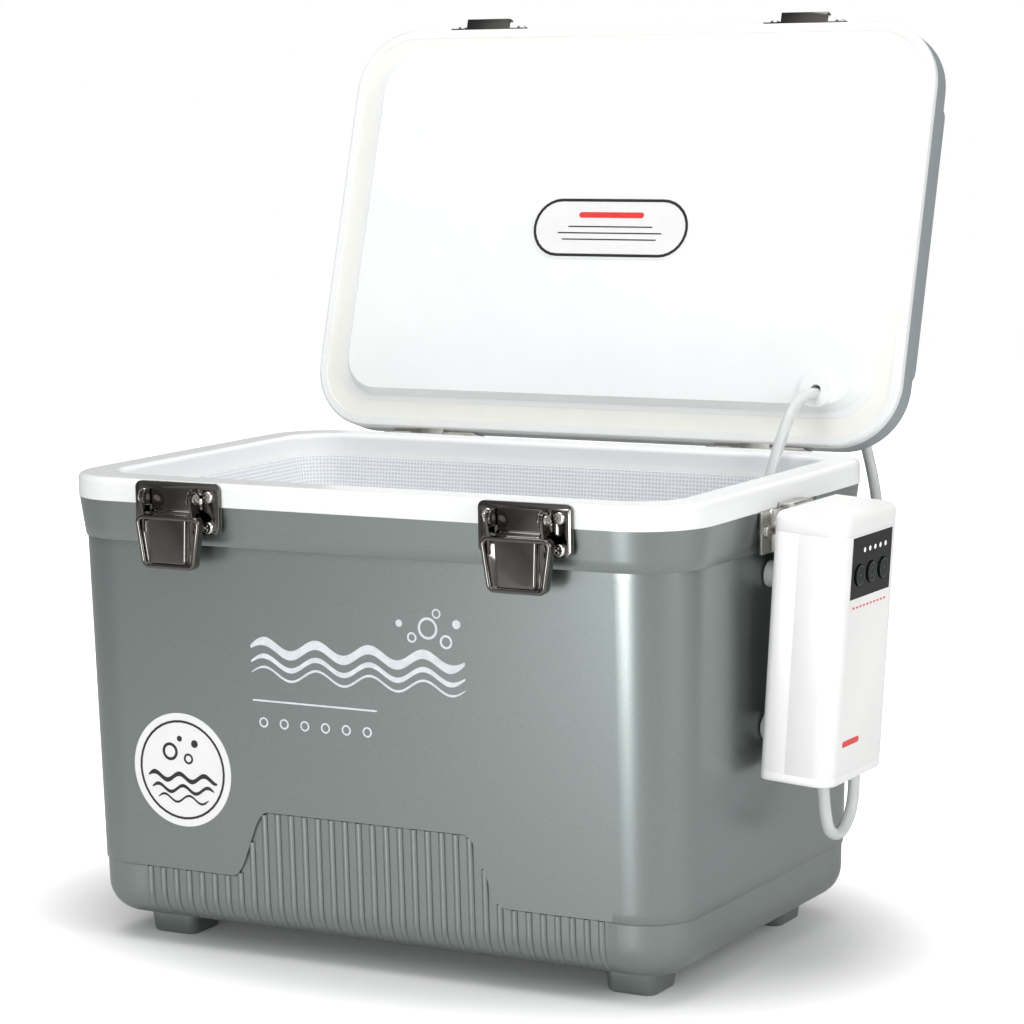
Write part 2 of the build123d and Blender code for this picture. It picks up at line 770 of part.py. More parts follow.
def lid_shell_form(inset):
    top = lid_shell_high - inset
    edge = LID_EDGE - inset
    form = top_rounded(lid_block(inset, lid_shell_low, top), edge)
    return form + top_rounded(plateau_block(inset, lid_shell_low, top + PLATEAU_RISE), edge - RUNNING)


def grommet_hole():
    return rod_z(grommet_x, grommet_y, plug_face, lid_shell_high, GROMMET_HUB)


def lid_holes():
    return holes(lid_hinge_seats() + strike_seats()) + grommet_hole()


def lid_outer_shell():
    return lid_shell_form(0) - lid_shell_form(LID_WALL) - lid_holes()


def plug_cavity():
    inset = PLUG_FACE_CLEARANCE + LID_WALL
    return rounded_block(
        opening_half_x - inset,
        opening_half_y - inset,
        OPENING_CORNER - inset,
        plug_face + LID_WALL,
        lid_shell_low,
    )


def channel(z_high):
    outside = lid_block(CHANNEL_FROM_EDGE, lip_plane, z_high)
    return outside - lid_block(CHANNEL_FROM_EDGE + CHANNEL_WIDTH, lip_plane, z_high)


def lid_inner_panel():
    panel = lid_block(0, lip_plane, lid_shell_low)
    panel = fillet(panel.edges().group_by(Axis.Z)[0], LIP_EDGE)
    reach = PLUG_BASE_REACH
    inset = PLUG_FACE_CLEARANCE
    base = RectangleRounded(
        2 * (opening_half_x + reach), 2 * (opening_half_y + reach), OPENING_CORNER + reach
    )
    face = RectangleRounded(
        2 * (opening_half_x - inset), 2 * (opening_half_y - inset), OPENING_CORNER - inset
    )
    panel += loft([Pos(0, 0, plug_face) * face, Pos(0, 0, lip_plane) * base])
    panel -= channel(lip_plane + CHANNEL_DEPTH)
    return panel - plug_cavity() - lid_holes()


def lid_gasket():
    strip = channel(lip_plane + CHANNEL_DEPTH)
    return strip - lid_block(0, lip_plane, lip_plane + GASKET_RECESS)


def lid_insulation():
    return lid_shell_form(LID_WALL) + plug_cavity() - lid_holes()


def lid_label():
    radius = LABEL_WIDTH / 2 - RUNNING
    outline = RectangleRounded(LABEL_LENGTH, LABEL_WIDTH, radius)
    return extrude(Pos(0, LABEL_Y, plug_face - LABEL_THICKNESS) * outline, LABEL_THICKNESS)


def tube_grommet():
    grommet = rod_z(grommet_x, grommet_y, plug_face, lid_shell_high, GROMMET_HUB)
    for z_low in (plug_face - GROMMET_LIP, lid_shell_high):
        flange = rod_z(grommet_x, grommet_y, z_low, z_low + GROMMET_LIP, GROMMET_FLANGE)
        grommet += flange
    z_range = (plug_face - GROMMET_LIP, lid_shell_high + GROMMET_LIP)
    return grommet - rod_z(grommet_x, grommet_y, *z_range, TUBE_RADIUS + GROMMET_FIT)


def strike(side):
    half = STRIKE_WIDTH / 2
    hook_half = STRIKE_HOOK_WIDTH / 2
    z_low = lip_plane + STRIKE_LOW
    back = lid_front
    tip = lid_front - STRIKE_REACH
    bracket = block(-half, half, back - SHEET, back, z_low + SHEET, z_low + STRIKE_HEIGHT + SHEET)
    bracket += block(-hook_half, hook_half, back - SHEET, back, z_low, z_low + SHEET)
    bracket += block(-hook_half, hook_half, tip, back, z_low, z_low + SHEET)
    bracket += block(-hook_half, hook_half, tip, tip + SHEET, z_low, z_low + STRIKE_CURL)
    bracket = Pos(side * LATCH_X, 0, 0) * bracket
    return bracket - holes(strike_seats())


# Air pump
def pump_outline(inset):
    shape = Pos(PUMP_DEPTH / 2, 0) * Rectangle(PUMP_DEPTH - 2 * inset, PUMP_WIDTH - 2 * inset)
    front = shape.vertices().sort_by(Axis.X)[2:]
    shape = fillet(front, PUMP_FRONT_CORNER - inset)
    back = shape.vertices().group_by(Axis.X)[0]
    return fillet(back, PUMP_BACK_CORNER - inset)


def pump_block(inset, z_low, z_high):
    return extrude(Pos(0, 0, z_low) * pump_outline(inset), z_high - z_low)


def pump_tube():
    z_high = PUMP_HEIGHT - TOP_CAP
    return pump_block(0, BOTTOM_CAP, z_high) - pump_block(PUMP_WALL, BOTTOM_CAP, z_high)


def boss_spots():
    return [(y, z) for y in (-BOSS_Y, BOSS_Y) for z in (BOSS_LOW, boss_high)]


def case_screw_seats():
    return [Location((0, y, z), (0, -90, 0)) * Pos(0, 0, -SCREW_HEAD_HEIGHT) for y, z in boss_spots()]


def case_screw_holes():
    cuts = []
    for seat in case_screw_seats():
        cuts.append(screw_hole(seat, CASE_SCREW_RADIUS, PUMP_PARTING + BOSS_RADIUS))
        cuts.append(seat * Cylinder(CASE_SCREW_HEAD + BUTTON_GAP, SCREW_HEAD_HEIGHT, align=low))
    return joined(cuts)


def pump_case_screws():
    screws = []
    for seat in case_screw_seats():
        screws.append(screw(seat, CASE_SCREW_HEAD, CASE_SCREW_RADIUS, PUMP_PARTING + BOSS_RADIUS))
    return group(screws)


def pump_case_back():
    case = pump_tube()
    case &= block(0, PUMP_PARTING, -PUMP_WIDTH, PUMP_WIDTH, 0, PUMP_HEIGHT)
    for y, z in boss_spots():
        boss = rod_x(PUMP_WALL / 2, PUMP_PARTING, y, z, BOSS_RADIUS)
        case += boss & pump_block(PUMP_WALL / 2, 0, PUMP_HEIGHT)
    case += motor_cradle()
    return case - case_screw_holes()


def panel_form(inset):
    skin = pump_block(0, panel_low + inset, panel_high - inset)
    skin -= pump_block(PANEL_THICKNESS, panel_low, panel_high)
    half = PANEL_HALF_WIDTH - inset
    return skin & block(PUMP_PARTING, PUMP_DEPTH, -half, half, panel_low, panel_high)


def button_spots():
    return [-BUTTON_SPACING, 0.0, BUTTON_SPACING]


def light_spots():
    return [LIGHT_FIRST_Y + LIGHT_PITCH * i for i in range(LIGHT_COUNT)]


def panel_holes():
    front_wall = PUMP_DEPTH - 2 * PUMP_WALL
    cuts = [rod_x(front_wall, PUMP_DEPTH, y, button_z, BUTTON_RADIUS + BUTTON_GAP) for y in button_spots()]
    cuts += [rod_x(front_wall, PUMP_DEPTH, y, light_z, LIGHT_RADIUS + RUNNING) for y in light_spots()]
    return joined(cuts)


def board_posts():
    y = BOARD_HALF_WIDTH - POST_RADIUS
    return [(end * y, z) for end in (-1, 1) for z in (board_low + POST_RADIUS, board_high - POST_RADIUS)]


def pump_case_front():
    case = pump_tube()
    case &= block(PUMP_PARTING, PUMP_DEPTH, -PUMP_WIDTH, PUMP_WIDTH, 0, PUMP_HEIGHT)
    board_front = BOARD_BACK + BOARD_THICKNESS
    inside = pump_block(PUMP_WALL / 2, BOTTOM_CAP, PUMP_HEIGHT - TOP_CAP)
    for y, z in boss_spots():
        case += rod_x(PUMP_PARTING, PUMP_PARTING + 2 * BOSS_RADIUS, y, z, BOSS_RADIUS) & inside
    for y, z in board_posts():
        case += rod_x(board_front, PUMP_DEPTH, y, z, POST_RADIUS) & inside
    return case - panel_form(0) - panel_holes() - case_screw_holes()


def control_panel():
    return panel_form(0) - panel_holes()


def status_lights():
    start = BOARD_BACK + BOARD_THICKNESS
    lights = []
    for y in light_spots():
        lights.append(rod_x(start, PUMP_DEPTH, y, light_z, LIGHT_RADIUS) & pump_block(0, 0, PUMP_HEIGHT))
    return group(lights)


def power_button(y):
    flange_front = PUMP_DEPTH - PUMP_WALL - 2 * BUTTON_GAP
    flange_back = flange_front - BUTTON_PROUD
    stem_back = BOARD_BACK + BOARD_THICKNESS + SHEET + BUTTON_TRAVEL
    cap = rod_x(flange_back, PUMP_DEPTH + BUTTON_PROUD, y, button_z, BUTTON_RADIUS)
    cap = fillet(cap.edges().sort_by(Axis.X)[-1], BUTTON_PROUD / 2)
    if abs(y) < BUTTON_RADIUS:
        cap += rod_x(flange_back, flange_front, y, button_z, BUTTON_FLANGE)
    return cap + rod_x(stem_back, flange_back, y, button_z, STEM_RADIUS)


def circuit_board():
    front = BOARD_BACK + BOARD_THICKNESS
    board = block(BOARD_BACK, front, -BOARD_HALF_WIDTH, BOARD_HALF_WIDTH, board_low, board_high)
    half = SWITCH_SIZE / 2
    for y in button_spots():
        board += block(front, front + SHEET, y - half, y + half, button_z - half, button_z + half)
    return board


def pump_top_cap():
    base = PUMP_HEIGHT - TOP_CAP
    cap = top_rounded(pump_block(0, base, PUMP_HEIGHT), TOP_CAP_EDGE)
    return cap - pump_block(PUMP_WALL, base, PUMP_HEIGHT - 2 * PUMP_WALL)


def port_block(margin, z_low, z_high):
    half_x = PORT_DEPTH / 2 + margin
    half_y = PORT_LENGTH / 2 + margin
    return block(PORT_X - half_x, PORT_X + half_x, PORT_Y - half_y, PORT_Y + half_y, z_low, z_high)


def tube_exit():
    return rod_z(PORT_X, 0, -COVER_THICKNESS, 2 * BOTTOM_CAP, TUBE_RADIUS + 2 * BUTTON_GAP)


cover_y_low = PORT_Y - PORT_LENGTH / 2 - COVER_MARGIN
cover_pin_y = cover_y_low - COVER_KNUCKLE - COVER_GAP
cover_pin_z = -COVER_KNUCKLE - COVER_GAP
cover_half_x = PORT_DEPTH / 2 + COVER_MARGIN
cover_tongue = PORT_DEPTH / 2


def pump_bottom_cap():
    cap = pump_block(0, 0, BOTTOM_CAP)
    cap = fillet(cap.edges().group_by(Axis.Z)[0], BOTTOM_CAP_EDGE)
    cap -= pump_block(PUMP_WALL, PUMP_WALL, BOTTOM_CAP)
    for end in (-1, 1):
        near = end * (cover_tongue + COVER_GAP)
        ends = sorted((PORT_X + near, PORT_X + near + end * SHEET))
        lug = block(*ends, cover_pin_y - COVER_KNUCKLE, cover_pin_y + COVER_KNUCKLE, cover_pin_z, SHEET)
        cap += lug + rod_x(*ends, cover_pin_y, cover_pin_z, COVER_KNUCKLE)
    reach = cover_tongue + COVER_GAP + SHEET / 2
    cap += rod_x(PORT_X - reach, PORT_X + reach, cover_pin_y, cover_pin_z, COVER_PIN)
    return cap - tube_exit() - port_block(0, 0, BOTTOM_CAP)


def charge_socket():
    body = port_block(0, SHEET, PORT_HEIGHT)
    return body - port_block(-SHEET / 2, SHEET, PORT_HEIGHT - SHEET)


def charge_cover():
    y_high = PORT_Y + PORT_LENGTH / 2 + COVER_MARGIN
    z_low = -COVER_GAP - COVER_THICKNESS
    cover = block(PORT_X - cover_half_x, PORT_X + cover_half_x, cover_y_low, y_high, z_low, -COVER_GAP)
    ends = (PORT_X - cover_tongue, PORT_X + cover_tongue)
    cover += block(*ends, cover_pin_y, cover_y_low, z_low, cover_pin_z)
    cover += rod_x(*ends, cover_pin_y, cover_pin_z, COVER_KNUCKLE)
    return cover - rod_x(*ends, cover_pin_y, cover_pin_z, COVER_PIN + RUNNING)


def battery_cells():
    return group(
        [rod_z(CELL_X, s * CELL_SPACING / 2, cell_low, cell_low + CELL_LENGTH, CELL_RADIUS) for s in (-1, 1)]
    )


def battery_holder():
    half = CELL_SPACING / 2 + CELL_RADIUS
    front = CELL_X + CELL_RADIUS
    back = PUMP_WALL
    cell_high = cell_low + CELL_LENGTH
    holder = block(back, CELL_X - CELL_RADIUS, -half, half, cell_low - HOLDER_PLATE, cell_high)
    holder += block(back, front, -half, half, cell_low - HOLDER_PLATE, cell_low)
    return holder


motor_back_y = -PUMP_WIDTH / 2 + PUMP_WALL + RUNNING
motor_front_y = motor_back_y + MOTOR_LENGTH


def air_motor():
    can = rod_y(MOTOR_X, motor_back_y, motor_front_y, motor_z, MOTOR_RADIUS)
    can -= rod_y(
        MOTOR_X, motor_back_y + MOTOR_WALL, motor_front_y - MOTOR_WALL, motor_z, MOTOR_RADIUS - MOTOR_WALL
    )
    return can - rod_y(MOTOR_X, motor_back_y, motor_front_y, motor_z, SHAFT_RADIUS + RUNNING)


def motor_cradle():
    cradle = block(
        PUMP_WALL, MOTOR_X - MOTOR_RADIUS / 2,
        motor_back_y + MOTOR_WALL, motor_front_y - MOTOR_WALL,
        motor_z - MOTOR_RADIUS, motor_z + MOTOR_RADIUS,
    )
    return cradle - rod_y(MOTOR_X, motor_back_y, motor_front_y, motor_z, MOTOR_RADIUS)


def motor_rotor():
    half = ECCENTRIC_WIDTH / 2
    rotor = rod_y(MOTOR_X, motor_back_y + RUNNING, ECCENTRIC_Y + half, motor_z, SHAFT_RADIUS)
    rotor += rod_y(
        MOTOR_X, motor_back_y + 2 * MOTOR_WALL, motor_front_y - 2 * MOTOR_WALL, motor_z, ARMATURE_RADIUS
    )
    offset_z = motor_z + ECCENTRIC_OFFSET
    return rotor + rod_y(MOTOR_X, ECCENTRIC_Y - half, ECCENTRIC_Y + half, offset_z, ECCENTRIC_RADIUS)


def diaphragm():
    half = ECCENTRIC_WIDTH / 2 - ARM_CLEARANCE
    ring_inside = ECCENTRIC_RADIUS + ECCENTRIC_OFFSET + ARM_CLEARANCE
    ring_outside = ring_inside + ARM_RING
    disc_low = head_low - DIAPHRAGM_THICKNESS
    arm = rod_y(MOTOR_X, ECCENTRIC_Y - half, ECCENTRIC_Y + half, motor_z, ring_outside)
    arm += block(
        MOTOR_X - ARM_RING, MOTOR_X + ARM_RING, ECCENTRIC_Y - half, ECCENTRIC_Y + half, motor_z, disc_low
    )
    arm -= rod_y(MOTOR_X, ECCENTRIC_Y - half, ECCENTRIC_Y + half, motor_z, ring_inside)
    return arm + rod_z(MOTOR_X, ECCENTRIC_Y, disc_low, head_low, DIAPHRAGM_RADIUS)


head_front = MOTOR_X + HEAD_HALF
hose_x = head_front + 2 * TUBE_BORE


def pump_head():
    y_low = ECCENTRIC_Y - HEAD_HALF
    y_high = ECCENTRIC_Y + HEAD_HALF
    head = block(PUMP_WALL, head_front, y_low, y_high, head_low, head_low + HEAD_HEIGHT)
    head -= rod_z(MOTOR_X, ECCENTRIC_Y, head_low, head_low + CHAMBER_DEPTH, CHAMBER_RADIUS)
    boss_low = ECCENTRIC_Y - TUBE_RADIUS
    boss_high = ECCENTRIC_Y + TUBE_RADIUS
    boss_top = head_low + CHAMBER_DEPTH
    return head + block(head_front, hose_x + TUBE_BORE, boss_low, boss_high, head_low, boss_top)


def pump_hanger():
    leg_front = rim_half_x + HANGER_GAP + HANGER_LEG
    leg_back = rim_half_x + HANGER_GAP
    face = bracket_back + SHEET + RUNNING
    arm_top = bracket_top + HANGER_ARM
    plate_low = pump_x + (hanger_bottom - pump_z) * tan(radians(PUMP_LEAN))
    case_top = pump_z + (PUMP_HEIGHT - TOP_CAP_EDGE) * cos(radians(PUMP_LEAN))
    plate_high = pump_x + (case_top - pump_z) * tan(radians(PUMP_LEAN))
    points = [
        (leg_back, hanger_leg_bottom),
        (leg_front, hanger_leg_bottom),
        (leg_front, bracket_top),
        (face, bracket_top),
        (face, hanger_bottom),
        (max(plate_low, face + RUNNING), hanger_bottom),
        (plate_high, case_top),
        (plate_high, arm_top),
        (leg_back, arm_top),
    ]
    return side_profile(points, HANGER_HALF_WIDTH)


def side_wall_x(z):
    return BODY_HALF_X - (BODY_TOP - z) * tan(radians(BODY_DRAFT))


def pump_bumpers():
    bumpers = []
    lean = radians(PUMP_LEAN)
    for local_z in (BUMPER_LOW, bumper_high):
        world_z = pump_z + local_z * cos(lean)
        room = pump_x + local_z * sin(lean) - side_wall_x(world_z + BUMPER_RADIUS)
        length = room - BUMPER_GAP
        for y in (-BUMPER_Y, BUMPER_Y):
            bumper = rod_x(-length, 0, y, local_z, BUMPER_RADIUS)
            bumpers.append(fillet(bumper.edges().sort_by(Axis.X)[0], SHEET))
    return group(bumpers)


# Air tube: points of the route, and the radius at each turn
outer_route = [
    (196.0, 0.0, 110.2),
    (196.0, 0.0, 71.9),
    (195.5, 20.3, 60.2),
    (195.0, 40.6, 71.9),
    (194.5, 42.5, 100.0),
    (184.0, 84.0, 140.0),
    (170.0, 126.0, 171.0),
    (156.0, 166.0, 196.0),
    (142.0, 194.0, 216.0),
    (134.0, 189.24, 254.05),
    (134.0, 151.18, 265.68),
]
inner_route = [
    (134.0, 150.22, 265.97),
    (134.0, 115.78, 276.5),
    (131.0, 88.0, 243.0),
    (127.0, 74.0, 200.0),
    (124.5, 64.0, 152.0),
    (119.0, 58.0, 104.0),
    (114.0, 52.0, 59.4),
    (114.0, 15.0, 59.4),
]


def turn_radii(route):
    points = [Vector(*point) for point in route]
    radii = []
    for before, corner, after in zip(points, points[1:], points[2:]):
        turn = (corner - before).get_angle(after - corner)
        shorter = min((corner - before).length, (after - corner).length)
        radii.append(TURN_SHARE * shorter / tan(radians(turn / 2)))
    return radii


def tube_line(route):
    return FilletPolyline([Vector(*point) for point in route], radius=turn_radii(route))


def air_tube(route):
    line = tube_line(route)
    section = Circle(TUBE_RADIUS) - Circle(TUBE_BORE)
    start = Plane(origin=line @ 0, z_dir=line % 0)
    return sweep(start * section, path=line)


def outlet_fitting():
    x, y, z = outer_route[0]
    barb = rod_z(x, y, z - 2 * TUBE_RADIUS, z, TUBE_BORE - BARB_CLEARANCE)
    barb += rod_z(x, y, z, z + TUBE_RADIUS, TUBE_RADIUS + 2 * BUTTON_GAP)
    return barb


def inner_hose():
    x, y, z = outer_route[0]
    start = pump_place.inverse() * Pos(x, y, z + TUBE_RADIUS)
    first = start.position
    points = [
        first,
        first + Vector(0, 0, TUBE_RADIUS),
        Vector(hose_x, ECCENTRIC_Y / 2, first.Z + HOSE_STEP),
        Vector(hose_x, ECCENTRIC_Y, cell_low + CELL_LENGTH / 2),
        Vector(hose_x, ECCENTRIC_Y, head_low),
    ]
    line = FilletPolyline(points, radius=TUBE_RADIUS)
    section = Plane(origin=line @ 0, z_dir=line % 0) * Circle(TUBE_BORE)
    return sweep(section, path=line)


def air_stone():
    x, y, z = inner_route[-1]
    barb = rod_y(x, y, y + STONE_BARB, z, TUBE_BORE - BARB_CLEARANCE)
    return rod_y(x, y - STONE_LENGTH, y, z, STONE_RADIUS) + barb


# Every node and where it goes
def tub_parts():
    return {
        "outer_shell": outer_shell(),
        "tub_insulation": tub_insulation(),
        "inner_liner": inner_liner(),
        "net_frame": net_frame(),
        "bait_net": bait_net(),
        "front_sticker": front_sticker(),
        "latch_plate_left": latch_plate(-1),
        "latch_plate_right": latch_plate(1),
        "latch_screws": latch_screws(),
        "lever_rivets": lever_rivets(),
        "latch_lever_left": latch_lever(-1),
        "latch_lever_right": latch_lever(1),
        "claw_pin_left": claw_pin(-1),
        "claw_pin_right": claw_pin(1),
        "latch_claw_left": latch_claw(-1),
        "latch_claw_right": latch_claw(1),
        "hinge_leaves_tub": group([tub_leaf(-1), tub_leaf(1)]),
        "hinge_pins": hinge_pins(),
        "hinge_screws_tub": group([screw(seat) for seat in tub_hinge_seats()]),
        "strap_bracket_left": strap_bracket(-1),
        "strap_bracket_right": strap_bracket(1),
        "strap_screws": group([screw(seat) for seat in bracket_seats()]),
    }


def lid_parts():
    return {
        "lid_outer_shell": lid_outer_shell(),
        "lid_insulation": lid_insulation(),
        "lid_inner_panel": lid_inner_panel(),
        "lid_gasket": lid_gasket(),
        "lid_label": lid_label(),
        "tube_grommet": tube_grommet(),
        "hinge_leaves_lid": group([lid_leaf(-1), lid_leaf(1)]),
        "hinge_screws_lid": group([screw(seat) for seat in lid_hinge_seats()]),
        "strike_left": strike(-1),
        "strike_right": strike(1),
        "strike_screws": group([screw(seat) for seat in strike_seats()]),
    }


def pump_parts():
    buttons = {f"button_{i + 1}": power_button(y) for i, y in enumerate(button_spots())}
    return buttons | {
        "pump_case_front": pump_case_front(),
        "pump_case_back": pump_case_back(),
        "pump_top_cap": pump_top_cap(),
        "pump_bottom_cap": pump_bottom_cap(),
        "control_panel": control_panel(),
        "status_lights": status_lights(),
        "circuit_board": circuit_board(),
        "battery_cells": battery_cells(),
        "battery_holder": battery_holder(),
        "air_motor": air_motor(),
        "motor_rotor": motor_rotor(),
        "diaphragm": diaphragm(),
        "pump_head": pump_head(),
        "inner_hose": inner_hose(),
        "pump_case_screws": pump_case_screws(),
        "pump_bumpers": pump_bumpers(),
        "charge_socket": charge_socket(),
        "charge_cover": charge_cover(),
    }


def free_parts():
    return {
        "pump_hanger": pump_hanger(),
        "outlet_fitting": outlet_fitting(),
        "air_tube_outer": air_tube(outer_route),
        "air_tube_inner": air_tube(inner_route),
        "air_stone": air_stone(),
    }


def write_parts():
    os.makedirs("parts", exist_ok=True)
    parts = tub_parts() | free_parts()
    parts |= {name: lid_place * part for name, part in lid_parts().items()}
    parts |= {name: pump_place * part for name, part in pump_parts().items()}
    for name, part in parts.items():
        export_step(part, f"parts/{name}.step")
    for name, route in (("outer", outer_route), ("inner", inner_route)):
        print(name, "tube radii", [round(radius, 1) for radius in turn_radii(route)])
        print(name, "tube length", round(tube_line(route).length, 1))
    print(len(parts), "nodes")


write_parts()
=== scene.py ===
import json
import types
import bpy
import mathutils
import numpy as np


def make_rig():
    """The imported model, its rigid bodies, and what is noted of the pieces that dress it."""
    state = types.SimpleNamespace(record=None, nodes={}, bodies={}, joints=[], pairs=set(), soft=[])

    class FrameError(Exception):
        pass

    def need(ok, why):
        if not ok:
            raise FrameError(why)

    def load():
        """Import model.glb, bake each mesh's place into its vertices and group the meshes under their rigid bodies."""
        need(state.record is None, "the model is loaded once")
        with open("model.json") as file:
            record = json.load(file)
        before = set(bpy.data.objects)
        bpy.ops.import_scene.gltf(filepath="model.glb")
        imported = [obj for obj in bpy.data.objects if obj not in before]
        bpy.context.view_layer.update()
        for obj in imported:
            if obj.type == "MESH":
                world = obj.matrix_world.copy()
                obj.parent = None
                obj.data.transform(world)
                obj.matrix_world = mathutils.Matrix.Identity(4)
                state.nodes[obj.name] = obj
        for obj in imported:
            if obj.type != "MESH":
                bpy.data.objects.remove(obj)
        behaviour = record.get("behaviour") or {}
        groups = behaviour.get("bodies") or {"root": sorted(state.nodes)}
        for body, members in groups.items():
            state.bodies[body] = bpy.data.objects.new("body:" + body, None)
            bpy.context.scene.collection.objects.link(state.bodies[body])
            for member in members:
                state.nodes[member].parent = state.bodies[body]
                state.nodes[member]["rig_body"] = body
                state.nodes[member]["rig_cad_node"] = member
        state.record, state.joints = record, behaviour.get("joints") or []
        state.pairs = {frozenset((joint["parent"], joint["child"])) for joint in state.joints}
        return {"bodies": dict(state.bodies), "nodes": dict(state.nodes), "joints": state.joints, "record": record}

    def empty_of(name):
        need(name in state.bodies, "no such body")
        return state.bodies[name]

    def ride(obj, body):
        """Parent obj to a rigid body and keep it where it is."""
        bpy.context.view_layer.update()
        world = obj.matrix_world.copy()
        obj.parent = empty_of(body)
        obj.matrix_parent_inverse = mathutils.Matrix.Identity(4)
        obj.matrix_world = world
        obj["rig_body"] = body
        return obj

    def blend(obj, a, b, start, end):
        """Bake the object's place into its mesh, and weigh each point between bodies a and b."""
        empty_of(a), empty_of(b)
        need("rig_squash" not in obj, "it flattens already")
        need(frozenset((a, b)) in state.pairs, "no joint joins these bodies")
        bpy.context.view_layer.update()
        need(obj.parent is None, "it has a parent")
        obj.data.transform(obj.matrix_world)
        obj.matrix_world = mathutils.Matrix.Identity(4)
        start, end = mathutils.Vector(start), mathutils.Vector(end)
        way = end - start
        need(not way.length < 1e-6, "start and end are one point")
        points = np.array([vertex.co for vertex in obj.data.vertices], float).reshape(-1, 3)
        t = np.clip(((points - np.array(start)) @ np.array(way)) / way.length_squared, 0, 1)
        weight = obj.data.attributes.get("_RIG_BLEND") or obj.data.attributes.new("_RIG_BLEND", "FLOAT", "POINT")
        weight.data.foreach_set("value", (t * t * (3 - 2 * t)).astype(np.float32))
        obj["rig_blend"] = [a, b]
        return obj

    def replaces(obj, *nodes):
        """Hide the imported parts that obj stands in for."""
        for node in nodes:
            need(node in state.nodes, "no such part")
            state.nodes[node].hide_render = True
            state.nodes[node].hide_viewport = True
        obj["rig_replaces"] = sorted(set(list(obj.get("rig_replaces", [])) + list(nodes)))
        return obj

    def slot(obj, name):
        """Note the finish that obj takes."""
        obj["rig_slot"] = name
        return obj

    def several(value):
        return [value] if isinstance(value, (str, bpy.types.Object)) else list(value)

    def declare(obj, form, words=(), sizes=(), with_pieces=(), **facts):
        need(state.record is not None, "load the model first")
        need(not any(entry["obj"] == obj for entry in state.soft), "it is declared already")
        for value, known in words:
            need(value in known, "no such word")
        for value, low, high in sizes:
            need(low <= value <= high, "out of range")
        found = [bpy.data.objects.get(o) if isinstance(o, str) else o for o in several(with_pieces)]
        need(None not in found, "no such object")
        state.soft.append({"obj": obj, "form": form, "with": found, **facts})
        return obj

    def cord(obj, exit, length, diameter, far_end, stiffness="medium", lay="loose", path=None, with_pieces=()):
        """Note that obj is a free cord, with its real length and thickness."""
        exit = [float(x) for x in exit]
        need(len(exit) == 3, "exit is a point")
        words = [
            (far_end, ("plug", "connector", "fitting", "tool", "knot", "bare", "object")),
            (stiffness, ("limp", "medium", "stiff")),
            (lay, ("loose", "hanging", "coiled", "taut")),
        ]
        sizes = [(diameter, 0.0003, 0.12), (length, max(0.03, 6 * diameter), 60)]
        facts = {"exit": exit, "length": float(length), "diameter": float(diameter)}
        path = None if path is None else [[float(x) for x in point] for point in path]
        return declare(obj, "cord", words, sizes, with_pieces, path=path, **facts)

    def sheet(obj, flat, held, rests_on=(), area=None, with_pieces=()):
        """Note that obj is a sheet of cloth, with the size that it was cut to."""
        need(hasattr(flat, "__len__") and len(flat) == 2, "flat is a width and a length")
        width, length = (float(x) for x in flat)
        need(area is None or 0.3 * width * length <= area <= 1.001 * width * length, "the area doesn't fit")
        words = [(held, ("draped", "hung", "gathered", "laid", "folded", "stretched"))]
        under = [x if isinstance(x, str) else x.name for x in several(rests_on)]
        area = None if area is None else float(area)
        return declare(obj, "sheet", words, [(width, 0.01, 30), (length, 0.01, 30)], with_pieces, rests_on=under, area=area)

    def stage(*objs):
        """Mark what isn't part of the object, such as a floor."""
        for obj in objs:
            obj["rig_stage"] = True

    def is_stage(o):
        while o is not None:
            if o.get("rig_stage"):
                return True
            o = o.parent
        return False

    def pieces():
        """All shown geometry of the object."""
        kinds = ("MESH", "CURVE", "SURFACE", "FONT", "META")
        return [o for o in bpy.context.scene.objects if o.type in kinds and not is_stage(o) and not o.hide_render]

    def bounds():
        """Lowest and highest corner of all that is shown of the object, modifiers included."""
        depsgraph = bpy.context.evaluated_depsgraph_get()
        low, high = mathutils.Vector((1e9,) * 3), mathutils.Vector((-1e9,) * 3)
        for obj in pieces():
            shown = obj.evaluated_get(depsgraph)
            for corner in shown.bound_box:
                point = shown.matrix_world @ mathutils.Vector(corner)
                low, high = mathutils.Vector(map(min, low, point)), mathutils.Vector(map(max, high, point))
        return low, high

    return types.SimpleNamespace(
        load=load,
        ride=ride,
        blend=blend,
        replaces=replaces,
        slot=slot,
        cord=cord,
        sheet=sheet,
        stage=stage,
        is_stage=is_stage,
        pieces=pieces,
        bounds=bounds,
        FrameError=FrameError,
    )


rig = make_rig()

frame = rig.load()
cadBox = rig.bounds()

import json
import math

import bmesh
import bpy
from mathutils import Matrix, Vector

mm = 0.001
nodes = frame["nodes"]


cameraLook = {
    "place": (0.84714, -1.48330, 0.44307), "azimuth": 29.021, "elevation": 7.574, "roll": -0.826,
    "lens": 118.13, "sensor": 36.0,
}
worldLook = {
    "shown": 1.0, "toward": (0.42, -0.84, 0.34), "dim": 0.20, "bright": 0.90, "from": 0.28, "to": 0.92,
}
lampAim = (0, 0, 0.2)
lampLooks = {
    "lampTop": {"place": (-0.1, -0.1, 1.9), "wide": 1.5, "high": 1.5, "power": 19.0},
    "lampFront": {"place": (0.35, -1.9, 1.25), "wide": 0.7, "high": 0.5, "power": 1.0},
    "lampSide": {"place": (1.5, -0.3, 0.8), "wide": 0.35, "high": 0.9, "power": 9.5},
    "lampSheen": {"place": (-0.02, -1.02, 0.12), "wide": 0.25, "high": 0.25, "power": 2.8},
}
floorLook = {
    "half": 3.0, "tone": (0.80, 0.80, 0.80), "rough": 0.9, "sheen": 0.1, "lift": 0.03, "farLift": 1.0,
    "near": 0.115, "far": 0.25, "squeeze": (0.68, 1.0, 1.0),
}
